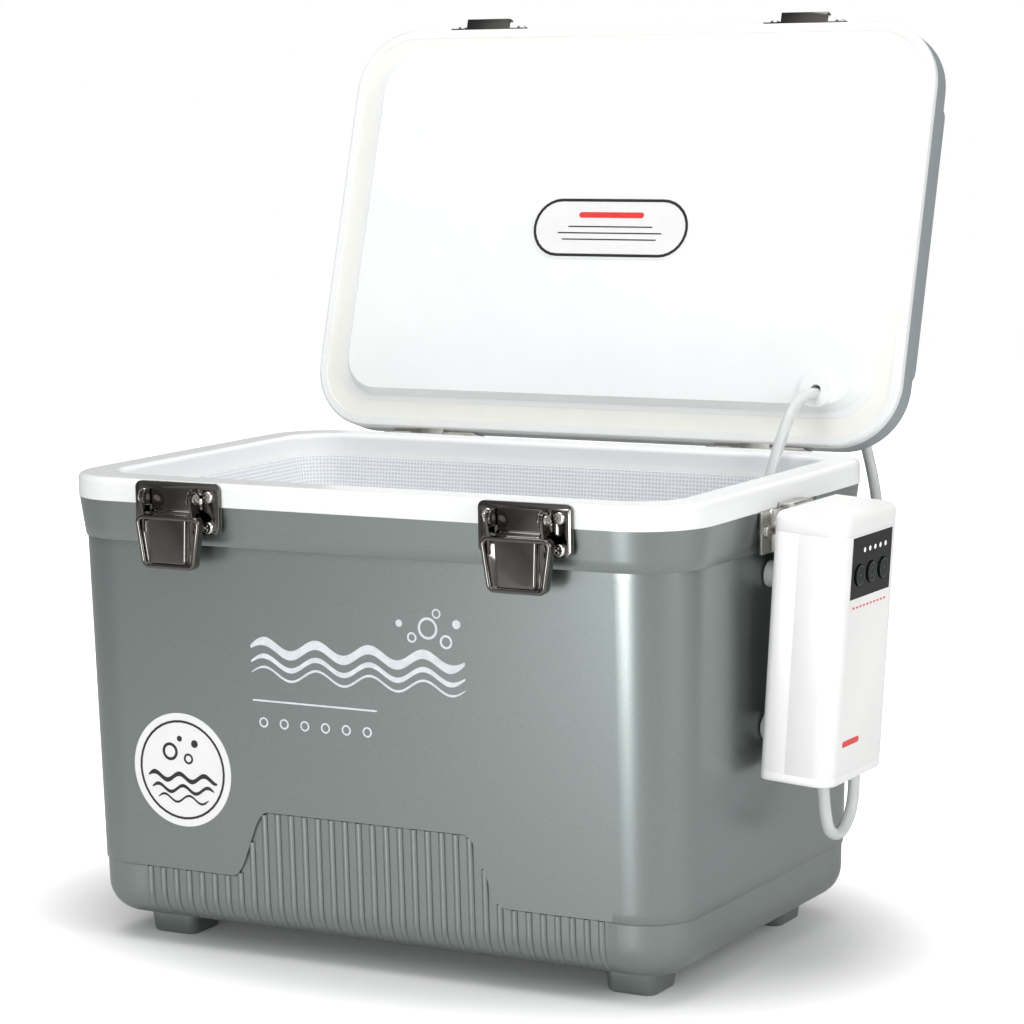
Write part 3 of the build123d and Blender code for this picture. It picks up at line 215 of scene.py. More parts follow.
plainWhite = (1, 1, 1, 1)


def linked(name, data):
    made = bpy.data.objects.new(name, data)
    bpy.context.scene.collection.objects.link(made)
    return made


def wire(tree, node, name, value):
    # a socket takes a link, or a plain value
    if isinstance(value, bpy.types.NodeSocket):
        tree.links.new(value, node.inputs[name])
    else:
        node.inputs[name].default_value = value


def addNode(tree, kind, inputs=None, **settings):
    node = tree.nodes.new(kind)
    for name, value in settings.items():
        setattr(node, name, value)
    for name, value in (inputs or {}).items():
        wire(tree, node, name, value)
    return node


def newMaterial(name):
    material = bpy.data.materials.new(name)
    material.use_nodes = True
    return material, material.node_tree, material.node_tree.nodes["Principled BSDF"]


def makeCamera(look):
    data = bpy.data.cameras.new("camera")
    data.lens = look["lens"]
    data.sensor_width = look["sensor"]
    camera = linked("camera", data)
    turn = Matrix.Rotation(math.radians(look["azimuth"]), 4, "Z")
    turn = turn @ Matrix.Rotation(math.radians(90 - look["elevation"]), 4, "X")
    turn = turn @ Matrix.Rotation(math.radians(look["roll"]), 4, "Z")
    camera.matrix_world = Matrix.Translation(look["place"]) @ turn
    bpy.context.scene.camera = camera


def makeLamps(looks, target):
    for name, look in looks.items():
        data = bpy.data.lights.new(name, "AREA")
        data.shape = "RECTANGLE"
        data.size = look["wide"]
        data.size_y = look["high"]
        data.energy = look["power"]
        lamp = linked(name, data)
        place = Vector(look["place"])
        turn = (target - place).to_track_quat("-Z", "Y").to_matrix().to_4x4()
        lamp.matrix_world = Matrix.Translation(place) @ turn


def cameraRays(tree):
    # 1 for what the camera sees, 0 for what lights the object or shines in it
    return tree.nodes.new("ShaderNodeLightPath").outputs["Is Camera Ray"]


def makeWorld(look):
    # brighter on the side that the lid faces, and plain white to the camera
    world = bpy.data.worlds.new("studio")
    world.use_nodes = True
    tree = world.node_tree
    around = tree.nodes.new("ShaderNodeTexCoord").outputs["Generated"]
    facing = addNode(tree, "ShaderNodeVectorMath",
        {0: around, 1: Vector(look["toward"]).normalized()}, operation="DOT_PRODUCT")
    light = addNode(tree, "ShaderNodeMapRange", {
        "Value": facing.outputs["Value"], "From Min": look["from"], "From Max": look["to"],
        "To Min": look["dim"], "To Max": look["bright"]}, interpolation_type="SMOOTHSTEP")
    span = addNode(tree, "ShaderNodeMapRange",
        {"Value": cameraRays(tree), "To Min": light.outputs[0], "To Max": look["shown"]})
    wire(tree, tree.nodes["Background"], "Strength", span.outputs[0])
    wire(tree, tree.nodes["Background"], "Color", plainWhite)
    bpy.context.scene.world = world


def makeFloor(look):
    # the paper goes to plain white away from the object, and keeps the shadow near it
    half = look["half"]
    mesh = bpy.data.meshes.new("floor")
    corners = [(-half, -half, 0), (half, -half, 0), (half, half, 0), (-half, half, 0)]
    mesh.from_pydata(corners, [], [(0, 1, 2, 3)])
    floor = linked("floor", mesh)
    material, tree, shader = newMaterial("floorPaper")
    place = tree.nodes.new("ShaderNodeTexCoord").outputs["Object"]
    squeeze = addNode(tree, "ShaderNodeVectorMath", {0: place, 1: look["squeeze"]}, operation="MULTIPLY")
    reach = addNode(tree, "ShaderNodeVectorMath", {0: squeeze.outputs["Vector"]}, operation="LENGTH")
    span = addNode(tree, "ShaderNodeMapRange", {
        "Value": reach.outputs["Value"], "From Min": look["near"], "From Max": look["far"],
        "To Min": look["lift"], "To Max": look["farLift"]}, interpolation_type="SMOOTHSTEP")
    shown = addNode(tree, "ShaderNodeMath", {0: cameraRays(tree), 1: span.outputs[0]},
        operation="MULTIPLY")
    sockets = {
        "Base Color": (*look["tone"], 1), "Roughness": look["rough"], "Specular IOR Level": look["sheen"],
        "Emission Color": plainWhite, "Emission Strength": shown.outputs[0],
    }
    for socket, value in sockets.items():
        wire(tree, shader, socket, value)
    mesh.materials.append(material)
    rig.stage(floor)


makeCamera(cameraLook)
makeLamps(lampLooks, Vector(lampAim))
makeWorld(worldLook)
makeFloor(floorLook)
bpy.context.scene.view_settings.view_transform = "Standard"
print("studio made")


toneSpan = (0.3, 0.7)  # the part of the noise that the two tones mix over
noiseDetail = {"tone": 4.0, "rough": 3.0, "bump": 2.0}
plainBump = 0.1


def makeFinish(name, look):
    material, tree, shader = newMaterial(name)
    place = tree.nodes.new("ShaderNodeTexCoord").outputs["Object"]
    grain = {}
    for kind, detail in noiseDetail.items():
        noise = addNode(tree, "ShaderNodeTexNoise",
            {"Scale": look[kind + "Scale"], "Detail": detail, "Vector": place})
        grain[kind] = noise.outputs["Fac"]
    ramp = addNode(tree, "ShaderNodeValToRGB", {0: grain["tone"]})
    for element, position, tone in zip(ramp.color_ramp.elements, toneSpan, look["tones"]):
        element.position = position
        element.color = (*tone, 1)
    least, most = look["rough"]
    rough = addNode(tree, "ShaderNodeMapRange",
        {"Value": grain["rough"], "To Min": least, "To Max": most})
    bump = addNode(tree, "ShaderNodeBump", {
        "Strength": look["bump"], "Distance": look.get("bumpDepth", plainBump) * mm,
        "Height": grain["bump"]})
    sockets = {"Base Color": ramp.outputs[0], "Roughness": rough.outputs[0], "Normal": bump.outputs[0]}
    for socket, value in {**sockets, **look.get("set", {})}.items():
        wire(tree, shader, socket, value)
    return material


finishLooks = {
    "shellPaint": {
        "tones": ((0.240, 0.272, 0.266), (0.275, 0.307, 0.300)), "toneScale": 1500, "rough": (0.30, 0.36),
        "roughScale": 700, "bump": 0.07, "bumpScale": 1900, "bumpDepth": 0.05, "set": {"Metallic": 0.9},
    },
    "linerWhite": {
        "tones": ((0.85, 0.865, 0.865), (0.87, 0.885, 0.885)), "toneScale": 35, "rough": (0.20, 0.28),
        "roughScale": 160, "bump": 0.10, "bumpScale": 120, "bumpDepth": 0.08,
    },
    "creamWhite": {
        "tones": ((0.85, 0.85, 0.79), (0.88, 0.88, 0.82)), "toneScale": 80, "rough": (0.5, 0.62),
        "roughScale": 300, "bump": 0.2, "bumpScale": 700,
    },
    "slatePlastic": {
        "tones": ((0.27, 0.305, 0.32), (0.305, 0.34, 0.355)), "toneScale": 900, "rough": (0.34, 0.46),
        "roughScale": 400, "bump": 0.3, "bumpScale": 1500, "bumpDepth": 0.08,
    },
    "darkSteel": {
        "tones": ((0.085, 0.078, 0.070), (0.11, 0.102, 0.092)), "toneScale": 90, "rough": (0.07, 0.13),
        "roughScale": 350, "bump": 0.08, "bumpScale": 160, "bumpDepth": 0.05,
        "set": {"Metallic": 1.0, "Coat Weight": 1.0, "Coat Roughness": 0.05},
    },
    "edgeSteel": {
        "tones": ((0.62, 0.60, 0.56), (0.80, 0.78, 0.74)), "toneScale": 160, "rough": (0.10, 0.2),
        "roughScale": 400, "bump": 0.08, "bumpScale": 300, "bumpDepth": 0.04, "set": {"Metallic": 1.0},
    },
    "brightSteel": {
        "tones": ((0.50, 0.49, 0.46), (0.64, 0.63, 0.60)), "toneScale": 300, "rough": (0.16, 0.28),
        "roughScale": 700, "bump": 0.12, "bumpScale": 900, "bumpDepth": 0.05, "set": {"Metallic": 1.0},
    },
    "pumpWhite": {
        "tones": ((0.86, 0.86, 0.85), (0.88, 0.88, 0.87)), "toneScale": 40, "rough": (0.30, 0.34),
        "roughScale": 160, "bump": 0.015, "bumpScale": 200, "bumpDepth": 0.03,
    },
    "rubberWhite": {
        "tones": ((0.72, 0.73, 0.73), (0.77, 0.78, 0.78)), "toneScale": 200, "rough": (0.5, 0.62),
        "roughScale": 300, "bump": 0.2, "bumpScale": 900,
    },
    "panelBlack": {
        "tones": ((0.004, 0.004, 0.005), (0.008, 0.008, 0.009)), "toneScale": 300, "rough": (0.18, 0.24),
        "roughScale": 300, "bump": 0.02, "bumpScale": 300, "bumpDepth": 0.02,
        "set": {"Specular IOR Level": 0.12},
    },
    "lightLens": {
        "tones": ((0.75, 0.78, 0.80), (0.9, 0.93, 0.95)), "toneScale": 900, "rough": (0.15, 0.3),
        "roughScale": 900, "bump": 0.1, "bumpScale": 1500,
        "set": {"Emission Color": (0.9, 0.95, 1.0, 1), "Emission Strength": 0.5},
    },
    "ringGreen": {
        "tones": ((0.018, 0.060, 0.045), (0.028, 0.080, 0.060)), "toneScale": 500, "rough": (0.3, 0.4),
        "roughScale": 500, "bump": 0.1, "bumpScale": 900,
    },
    "markRed": {
        "tones": ((0.70, 0.035, 0.035), (0.78, 0.05, 0.045)), "toneScale": 400, "rough": (0.35, 0.45),
        "roughScale": 400, "bump": 0.05, "bumpScale": 900,
    },
    "inkBlack": {
        "tones": ((0.012, 0.012, 0.013), (0.02, 0.02, 0.021)), "toneScale": 500, "rough": (0.35, 0.45),
        "roughScale": 400, "bump": 0.05, "bumpScale": 900,
    },
    "inkPale": {
        "tones": ((0.60, 0.65, 0.68), (0.72, 0.77, 0.80)), "toneScale": 260, "rough": (0.4, 0.5),
        "roughScale": 400, "bump": 0.1, "bumpScale": 1200,
    },
    "foamCream": {
        "tones": ((0.66, 0.60, 0.42), (0.74, 0.68, 0.50)), "toneScale": 350, "rough": (0.8, 0.95),
        "roughScale": 500, "bump": 0.6, "bumpScale": 900, "bumpDepth": 0.5,
    },
    "boardGreen": {
        "tones": ((0.015, 0.10, 0.035), (0.02, 0.14, 0.05)), "toneScale": 600, "rough": (0.3, 0.45),
        "roughScale": 500, "bump": 0.3, "bumpScale": 800,
    },
    "cellWrap": {
        "tones": ((0.03, 0.10, 0.32), (0.04, 0.13, 0.38)), "toneScale": 200, "rough": (0.25, 0.35),
        "roughScale": 300, "bump": 0.1, "bumpScale": 400,
    },
    "innerBlack": {
        "tones": ((0.02, 0.02, 0.021), (0.035, 0.035, 0.036)), "toneScale": 400, "rough": (0.4, 0.55),
        "roughScale": 400, "bump": 0.25, "bumpScale": 900,
    },
    "stoneBlue": {
        "tones": ((0.06, 0.20, 0.36), (0.16, 0.36, 0.55)), "toneScale": 1100, "rough": (0.8, 0.95),
        "roughScale": 900, "bump": 0.9, "bumpScale": 1400, "bumpDepth": 0.6,
    },
    "tubeClear": {
        "tones": ((0.80, 0.82, 0.82), (0.86, 0.88, 0.88)), "toneScale": 120, "rough": (0.16, 0.24),
        "roughScale": 300, "bump": 0.08, "bumpScale": 500,
        "set": {"Transmission Weight": 0.3, "IOR": 1.4},
    },
    "labelWhite": {
        "tones": ((0.80, 0.80, 0.80), (0.83, 0.83, 0.83)), "toneScale": 90, "rough": (0.34, 0.38),
        "roughScale": 300, "bump": 0.01, "bumpScale": 600, "bumpDepth": 0.03,
    },
}
finishes = {name: makeFinish(name, look) for name, look in finishLooks.items()}

nodeFinishes = {
    "shellPaint": ["outer_shell"],
    "linerWhite": ["inner_liner", "lid_inner_panel", "net_frame", "tube_grommet"],
    "creamWhite": ["lid_gasket"], "slatePlastic": ["lid_outer_shell"],
    "foamCream": ["tub_insulation", "lid_insulation"],
    "darkSteel": [
        "latch_plate_left", "latch_plate_right", "latch_lever_left", "latch_lever_right",
        "latch_claw_left", "latch_claw_right", "strike_left", "strike_right",
    ],
    "edgeSteel": ["latch_screws", "strike_screws", "lever_rivets"],
    "brightSteel": [
        "hinge_leaves_tub", "hinge_leaves_lid", "hinge_pins", "hinge_screws_tub", "hinge_screws_lid",
        "strap_bracket_left", "strap_bracket_right", "strap_screws", "claw_pin_left", "claw_pin_right",
        "pump_hanger", "pump_case_screws", "charge_socket",
    ],
    "pumpWhite": [
        "pump_case_front", "pump_case_back", "pump_top_cap", "pump_bottom_cap", "outlet_fitting",
    ],
    "rubberWhite": ["pump_bumpers", "charge_cover", "inner_hose", "diaphragm"],
    "panelBlack": ["control_panel", "button_1", "button_2", "button_3"], "lightLens": ["status_lights"],
    "boardGreen": ["circuit_board"], "cellWrap": ["battery_cells"],
    "innerBlack": ["battery_holder", "air_motor", "motor_rotor", "pump_head"], "stoneBlue": ["air_stone"],
    "labelWhite": ["front_sticker", "lid_label"],
}


def dress(obj, finish):
    obj.data.materials.clear()
    obj.data.materials.append(finish)


def mountPiece(piece, finish, body, slotName, node=None):
    # the finish, the body that it rides on, the node that it stands for, and its slot
    dress(piece, finish)
    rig.ride(piece, body)
    if node:
        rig.replaces(piece, node)
    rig.slot(piece, slotName)


for finishName, nodeNames in nodeFinishes.items():
    for nodeName in nodeNames:
        dress(nodes[nodeName], finishes[finishName])
print("finishes made")


weldGap = 1e-6  # points nearer than this become one


def newPiece(name, vertices, faces, smoothAngle):
    mesh = bpy.data.meshes.new(name)
    mesh.from_pydata(vertices, [], faces)
    mesh.validate()
    mesh.shade_smooth()
    mesh.set_sharp_from_angle(angle=math.radians(smoothAngle))
    return linked(name, mesh)


def pieceFrom(work, name, smoothAngle):
    # closes the bmesh that a piece was made in
    mesh = bpy.data.meshes.new(name)
    work.to_mesh(mesh)
    work.free()
    mesh.shade_smooth()
    mesh.set_sharp_from_angle(angle=math.radians(smoothAngle))
    return linked(name, mesh)


def tidyNormals(piece):
    work = bmesh.new()
    work.from_mesh(piece.data)
    bmesh.ops.remove_doubles(work, verts=work.verts, dist=weldGap)
    bmesh.ops.recalc_face_normals(work, faces=work.faces)
    work.to_mesh(piece.data)
    work.free()


def frozen(piece, name):
    # the evaluated shape as a plain mesh, on an object with no modifiers
    bpy.context.view_layer.update()
    ready = piece.evaluated_get(bpy.context.evaluated_depsgraph_get())
    made = linked(name, bpy.data.meshes.new_from_object(ready))
    bpy.data.objects.remove(piece)
    return made


outerTube = {
    "route": [
        (196, 0, 110.2), (196, 0, 71.9), (195.5, 20.3, 60.2), (195, 40.6, 71.9), (194.5, 42.5, 100),
        (184, 84, 140), (170, 126, 171), (156, 166, 196), (142, 194, 216), (134, 189.24, 254.05),
        (134, 151.18, 265.68),
    ],
    "diameter": 6.0, "bore": 4.0, "sides": 20, "length": 377.2, "bendFrom": 150.0, "bendTo": 228.0,
}
innerTube = {
    "route": [
        (134, 150.22, 265.97), (134, 115.78, 276.5), (131, 88, 243), (127, 74, 200), (124.5, 64, 152),
        (119, 58, 104), (114, 52, 59.4), (114, 15, 59.4),
    ],
    "diameter": 6.0, "bore": 4.0, "sides": 20, "length": 294.8, "bendFrom": 236.0, "bendTo": 150.0,
}


tubeCurve = {"order": 3, "steps": 24}


def routeLine(name, route):
    curve = bpy.data.curves.new(name, "CURVE")
    curve.dimensions = "3D"
    spline = curve.splines.new("NURBS")
    spline.points.add(len(route) - 1)
    for point, place in zip(spline.points, route):
        point.co = (*(mm * value for value in place), 1)
    spline.order_u = tubeCurve["order"]
    spline.use_endpoint_u = True
    spline.resolution_u = tubeCurve["steps"]
    holder = linked(name, curve)
    bpy.context.view_layer.update()
    mesh = bpy.data.meshes.new_from_object(holder)
    line = [vertex.co.copy() for vertex in mesh.vertices]
    bpy.data.objects.remove(holder)
    bpy.data.meshes.remove(mesh)
    return line


def tubeRings(line, radius, sides):
    rings = []
    across = Vector((1, 0, 0))
    for number, place in enumerate(line):
        ahead = line[min(number + 1, len(line) - 1)] - line[max(number - 1, 0)]
        ahead.normalize()
        across = (across - ahead * across.dot(ahead)).normalized()
        up = ahead.cross(across)
        rings.append([place + radius * (math.cos(turn) * across + math.sin(turn) * up)
            for turn in (2 * math.pi * step / sides for step in range(sides))])
    return rings


def ringFaces(count, sides, closed=False):
    faces = []
    for row in range(count if closed else count - 1):
        low, high = row * sides, ((row + 1) % count) * sides
        for side in range(sides):
            after = (side + 1) % sides
            faces.append((low + side, low + after, high + after, high + side))
    return faces


def makeTube(name, look):
    line = routeLine(name + "Line", look["route"])
    outside = tubeRings(line, look["diameter"] / 2 * mm, look["sides"])
    inside = tubeRings(line, look["bore"] / 2 * mm, look["sides"])
    rings = outside + inside[::-1]
    vertices = [place for ring in rings for place in ring]
    tube = newPiece(name, vertices, ringFaces(len(rings), look["sides"], closed=True), 60)
    tidyNormals(tube)
    tube.data.shade_smooth()
    dress(tube, finishes["tubeClear"])
    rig.slot(tube, "tube_clear")
    return tube, line


airTubeOutside, outsideLine = makeTube("airTubeOutside", outerTube)
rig.blend(airTubeOutside, "tub", "lid", start=(0, 0, outerTube["bendFrom"] * mm),
    end=(0, 0, outerTube["bendTo"] * mm))
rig.replaces(airTubeOutside, "air_tube_outer")
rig.cord(airTubeOutside, exit=outsideLine[0], length=outerTube["length"] * mm,
    diameter=outerTube["diameter"] * mm, far_end="object",
    stiffness="limp", lay="hanging", path=outsideLine)

airTubeInside, insideLine = makeTube("airTubeInside", innerTube)
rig.blend(airTubeInside, "lid", "tub", start=(0, 0, innerTube["bendFrom"] * mm),
    end=(0, 0, innerTube["bendTo"] * mm))
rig.replaces(airTubeInside, "air_tube_inner")
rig.cord(airTubeInside, exit=insideLine[0], length=innerTube["length"] * mm,
    diameter=innerTube["diameter"] * mm, far_end="fitting",
    stiffness="limp", lay="hanging", path=insideLine, with_pieces=["air_stone"])
print("air tubes made")


tubShell = {
    "halfX": 173.5, "halfY": 114.4, "corner": 32.0, "top": 209.1, "draft": 1.6, "bottom": 13.0,
    "bottomEdge": 16.0, "collarStep": 0.9, "collarFlare": 2.8, "collarTop": 229.2, "wall": 3.0,
    "innerHeight": 80, "lowLine": 41.0, "highLine": 75.5, "shoulderIn": 55.0, "shoulderOut": 79.5,
    "recess": 1.5, "cornerRecess": 0.7, "ribZone": 132.5, "fade": 6, "footX": 132.5, "footY": 73.0,
    "footSize": 29.0, "footCorner": 6.0, "footTaper": 1.2, "footBase": 2.2, "footEase": 0.7,
}
ribRow = {
    "count": 34, "pitch": 7.85, "radius": 1.9, "sink": 1.95, "reach": 84.0, "sides": 12,
    "rowsUp": 8, "rowsRound": 9, "leastGap": 0.0001,
}
shellSteps = {
    "round": 8, "corner": 14, "spacing": (6.0, 1.0), "recess": (0.25, 0.5, 0.75, 0.93),
    "line": ((-0.25, 1.0), (0.0, 0.8), (0.15, 0.3), (0.5, 0.0)),
    "wall": (0.03, 0.1, 0.25, 0.5, 0.75, 0.9, 0.98), "collar": (0.3, 0.6, 0.9, 1.0),
}


def outline(halfX, halfY, corner, spacing):
    # points and outward directions round a rounded rectangle
    walk = []
    flatX, flatY = halfX - corner, halfY - corner
    corners = [((flatX, -flatY), -90), ((flatX, flatY), 0), ((-flatX, flatY), 90),
        ((-flatX, -flatY), 180)]
    runs = [2 * flatY, 2 * flatX, 2 * flatY, 2 * flatX]
    for (centre, start), run, turn in zip(corners, runs, (0, 90, 180, 270)):
        for step in range(shellSteps["corner"] + 1):
            angle = math.radians(start + 90 * step / shellSteps["corner"])
            outX, outY = math.cos(angle), math.sin(angle)
            walk.append((centre[0] + corner * outX, centre[1] + corner * outY, outX, outY))
        count = max(2, round(run / spacing[turn // 90 % 2]))
        last = walk[-1]
        ahead = (-last[3], last[2])
        for step in range(1, count):
            along = run * step / count
            walk.append((last[0] + ahead[0] * along, last[1] + ahead[1] * along, last[2], last[3]))
    return walk


def recessTop(look, x):
    # the line that the ribs end at, lower at the sides and high in the middle
    share = (abs(x) - look["shoulderIn"]) / (look["shoulderOut"] - look["shoulderIn"])
    share = min(1, max(0, share))
    smooth = share ** 3 * (share * (6 * share - 15) + 10)
    return look["highLine"] + (look["lowLine"] - look["highLine"]) * smooth


def shellRows(look, x, onFace):
    # (inset, height) from the underside up to the rim, over the rim, and down inside
    slope = math.tan(math.radians(look["draft"]))
    straight = lambda z: (look["top"] - z) * slope
    line = recessTop(look, x) if onFace else look["lowLine"]
    fade = min(1, max(0, (look["ribZone"] + look["fade"] - abs(x)) / look["fade"])) if onFace else 0
    depth = look["cornerRecess"] + (look["recess"] - look["cornerRecess"]) * fade
    edge, bottom = look["bottomEdge"], look["bottom"]
    rows = []
    for step in range(shellSteps["round"] + 1):
        angle = math.radians(90 * step / shellSteps["round"])
        inset = straight(bottom + edge) + edge * (1 - math.sin(angle)) + depth * math.sin(angle)
        rows.append((inset, bottom + edge * (1 - math.cos(angle))))
    low = bottom + edge
    for share in shellSteps["recess"]:
        height = low + (line - low) * share
        rows.append((straight(height) + depth, height))
    for lift, part in shellSteps["line"]:
        rows.append((straight(line + lift) + depth * part, line + lift))
    for share in shellSteps["wall"]:
        height = line + 0.5 + (look["top"] - 0.6 - line - 0.5) * share
        rows.append((straight(height), height))
    step, flare, top = look["collarStep"], look["collarFlare"], look["collarTop"]
    rows += [(straight(look["top"] - 0.5), look["top"] - 0.5), (0.05, look["top"] - 0.1),
        (-step + 0.3, look["top"]), (-step, look["top"] + 0.35)]
    for share in shellSteps["collar"]:
        rows.append((-step - flare * share, look["top"] + (top - look["top"]) * share))
    wall, inner = look["wall"], look["innerHeight"]
    rows += [(wall - step - flare, top), (wall - step, look["top"]), (straight(inner) + wall, inner),
        (straight(low) + wall, low),
        (straight(low) + wall + edge * 0.5, bottom + wall + 1.5),
        (straight(low) + wall + edge, bottom + wall)]
    return rows


def makeTubShell(look):
    walk = outline(look["halfX"], look["halfY"], look["corner"], shellSteps["spacing"])
    columns = []
    for x, y, alongX, alongY in walk:
        rows = shellRows(look, x, onFace=abs(alongX) < 0.01)
        columns.append([((x - inset * alongX) * mm, (y - inset * alongY) * mm, height * mm)
            for inset, height in rows])
    count, sides = len(columns[0]), len(columns)
    vertices = [columns[side][row] for row in range(count) for side in range(sides)]
    faces = ringFaces(count, sides)
    faces.append(tuple(range(sides))[::-1])
    faces.append(tuple((count - 1) * sides + side for side in range(sides)))
    shell = newPiece("tubShell", vertices, faces, 40)
    addFeet(shell, look)
    return shell


def addFeet(shell, look):
    work = bmesh.new()
    work.from_mesh(shell.data)
    half, corner, taper = look["footSize"] / 2, look["footCorner"], look["footTaper"]
    footRows = (
        (look["bottom"] + 1, 0.0), (look["footBase"], taper), (look["footEase"], taper + 0.5),
        (0.0, taper + 1.6))
    for sideX in (-1, 1):
        for sideY in (-1, 1):
            rings = []
            for height, inset in footRows:
                ring = outline(half - inset, half - inset, corner - inset * 0.5, (40, 40))
                spots = [(sideX * look["footX"] + x, sideY * look["footY"] + y, height)
                    for x, y, *_ in ring]
                rings.append([work.verts.new([value * mm for value in spot]) for spot in spots])
            for high, low in zip(rings, rings[1:]):
                for side in range(len(high)):
                    after = (side + 1) % len(high)
                    work.faces.new((low[side], low[after], high[after], high[side]))
            work.faces.new(rings[-1][::-1])
            work.faces.new(rings[0])
    bmesh.ops.recalc_face_normals(work, faces=work.faces)
    work.to_mesh(shell.data)
    work.free()
    shell.data.shade_smooth()
    shell.data.set_sharp_from_angle(angle=math.radians(40))


def newTree(name, inputs):
    tree = bpy.data.node_groups.new(name, "GeometryNodeTree")
    tree.interface.new_socket("Geometry", in_out="OUTPUT", socket_type="NodeSocketGeometry")
    for label, kind in inputs.items():
        tree.interface.new_socket(label, in_out="INPUT", socket_type=kind)
    return tree, tree.nodes.new("NodeGroupInput").outputs, tree.nodes.new("NodeGroupOutput")


def runTree(tree, name, values):
    holder = linked(name + "Holder", bpy.data.meshes.new(name))
    modifier = holder.modifiers.new("build", "NODES")
    modifier.node_group = tree
    for item in tree.interface.items_tree:
        if item.in_out == "INPUT":
            modifier[item.identifier] = values[item.name]
    return frozen(holder, name)


def ribPlaces(look, calc, tree, given, across, along):
    # where each point of a rib lies: up the wall above the split, round the foot below it
    share = addNode(tree, "ShaderNodeMapRange", {
        "Value": calc("ABSOLUTE", across), "From Min": given["Shoulder In"],
        "From Max": given["Shoulder Out"],
        "To Min": given["High Line"], "To Max": given["Low Line"]}, interpolation_type="SMOOTHERSTEP")
    split = look["rowsRound"] / (look["rowsUp"] + look["rowsRound"] - 1)
    upShare = calc("MAXIMUM", calc("DIVIDE", calc("SUBTRACT", along, split), 1 - split), 0.0)
    rise = calc("SUBTRACT", share.outputs[0], given["Round From"])
    height = calc("MULTIPLY_ADD", upShare, rise, given["Round From"])
    downShare = calc("MAXIMUM", calc("DIVIDE", calc("SUBTRACT", split, along), split), 0.0)
    turn = calc("MULTIPLY", downShare, given["Round Reach"])
    reach = calc("SUBTRACT", given["Round Radius"], given["Sink"])
    foot = calc("SUBTRACT", height, calc("MULTIPLY", calc("SINE", turn), reach))
    wallY = calc("SUBTRACT", calc("MULTIPLY_ADD", height, given["Slope"], given["Wall At Floor"]),
        given["Sink"])
    back = calc("SUBTRACT", wallY, calc("MULTIPLY", calc("SUBTRACT", 1.0, calc("COSINE", turn)), reach))
    joined = addNode(tree, "ShaderNodeCombineXYZ",
        {"X": across, "Y": calc("MULTIPLY", back, -1.0), "Z": foot})
    return joined.outputs[0]


def crossEdges(look, calc, tree):
    # picks the grid's edges that run from one rib to the next
    ends = tree.nodes.new("GeometryNodeInputMeshEdgeVertices").outputs
    gap = addNode(tree, "ShaderNodeVectorMath",
        {0: ends["Position 1"], 1: ends["Position 2"]}, operation="SUBTRACT")
    apart = addNode(tree, "ShaderNodeSeparateXYZ", {0: gap.outputs[0]})
    return calc("GREATER_THAN", calc("ABSOLUTE", apart.outputs["X"]), look["leastGap"])


def makeRibs(look, shell):
    # ribs that run down the wall and round its foot, each one as tall as the recess there
    slope = math.tan(math.radians(shell["draft"]))
    values = {
        "Count": look["count"], "Pitch": look["pitch"] * mm, "Radius": look["radius"] * mm,
        "Low Line": shell["lowLine"] * mm, "High Line": shell["highLine"] * mm,
        "Shoulder In": shell["shoulderIn"] * mm, "Shoulder Out": shell["shoulderOut"] * mm,
        "Wall At Floor": (shell["halfY"] - shell["top"] * slope) * mm, "Slope": slope,
        "Round From": (shell["bottom"] + shell["bottomEdge"]) * mm,
        "Round Radius": shell["bottomEdge"] * mm,
        "Round Reach": math.radians(look["reach"]), "Sink": look["sink"] * mm,
        "Material": finishes["shellPaint"],
    }
    kinds = {"Count": "NodeSocketInt", "Material": "NodeSocketMaterial"}
    tree, given, out = newTree("wallRibs",
        {label: kinds.get(label, "NodeSocketFloat") for label in values})

    def calc(operation, *numbers):
        return addNode(tree, "ShaderNodeMath", dict(enumerate(numbers)), operation=operation).outputs[0]

    grid = addNode(tree, "GeometryNodeMeshGrid", {
        "Vertices X": given["Count"], "Vertices Y": look["rowsUp"] + look["rowsRound"],
        "Size X": calc("MULTIPLY", given["Pitch"], calc("SUBTRACT", given["Count"], 1.0)), "Size Y": 1.0})
    position = tree.nodes.new("GeometryNodeInputPosition").outputs[0]
    spot = addNode(tree, "ShaderNodeSeparateXYZ", {0: position}).outputs
    places = ribPlaces(look, calc, tree, given, spot["X"], calc("ADD", spot["Y"], 0.5))
    lone = addNode(tree, "GeometryNodeDeleteGeometry",
        {"Geometry": grid.outputs["Mesh"], "Selection": crossEdges(look, calc, tree)}, domain="EDGE",
        mode="EDGE_FACE")
    placed = addNode(tree, "GeometryNodeSetPosition", {"Geometry": lone.outputs[0], "Position": places})
    lines = addNode(tree, "GeometryNodeMeshToCurve", {0: placed.outputs[0]})
    ring = addNode(tree, "GeometryNodeCurvePrimitiveCircle",
        {"Resolution": look["sides"], "Radius": given["Radius"]})
    sweep = addNode(tree, "GeometryNodeCurveToMesh",
        {"Curve": lines.outputs[0], "Profile Curve": ring.outputs["Curve"], "Fill Caps": True})
    turned = addNode(tree, "GeometryNodeTransform",
        {"Geometry": sweep.outputs[0], "Rotation": (0, 0, math.pi)})
    both = addNode(tree, "GeometryNodeJoinGeometry", {0: sweep.outputs[0]})
    wire(tree, both, 0, turned.outputs[0])
    smooth = addNode(tree, "GeometryNodeSetShadeSmooth", {"Geometry": both.outputs[0]})
    real = addNode(tree, "GeometryNodeRealizeInstances", {0: smooth.outputs[0]})
    paint = addNode(tree, "GeometryNodeSetMaterial",
        {"Geometry": real.outputs[0], "Material": given["Material"]})
    wire(tree, out, 0, paint.outputs[0])
    return runTree(tree, "wallRibs", values)


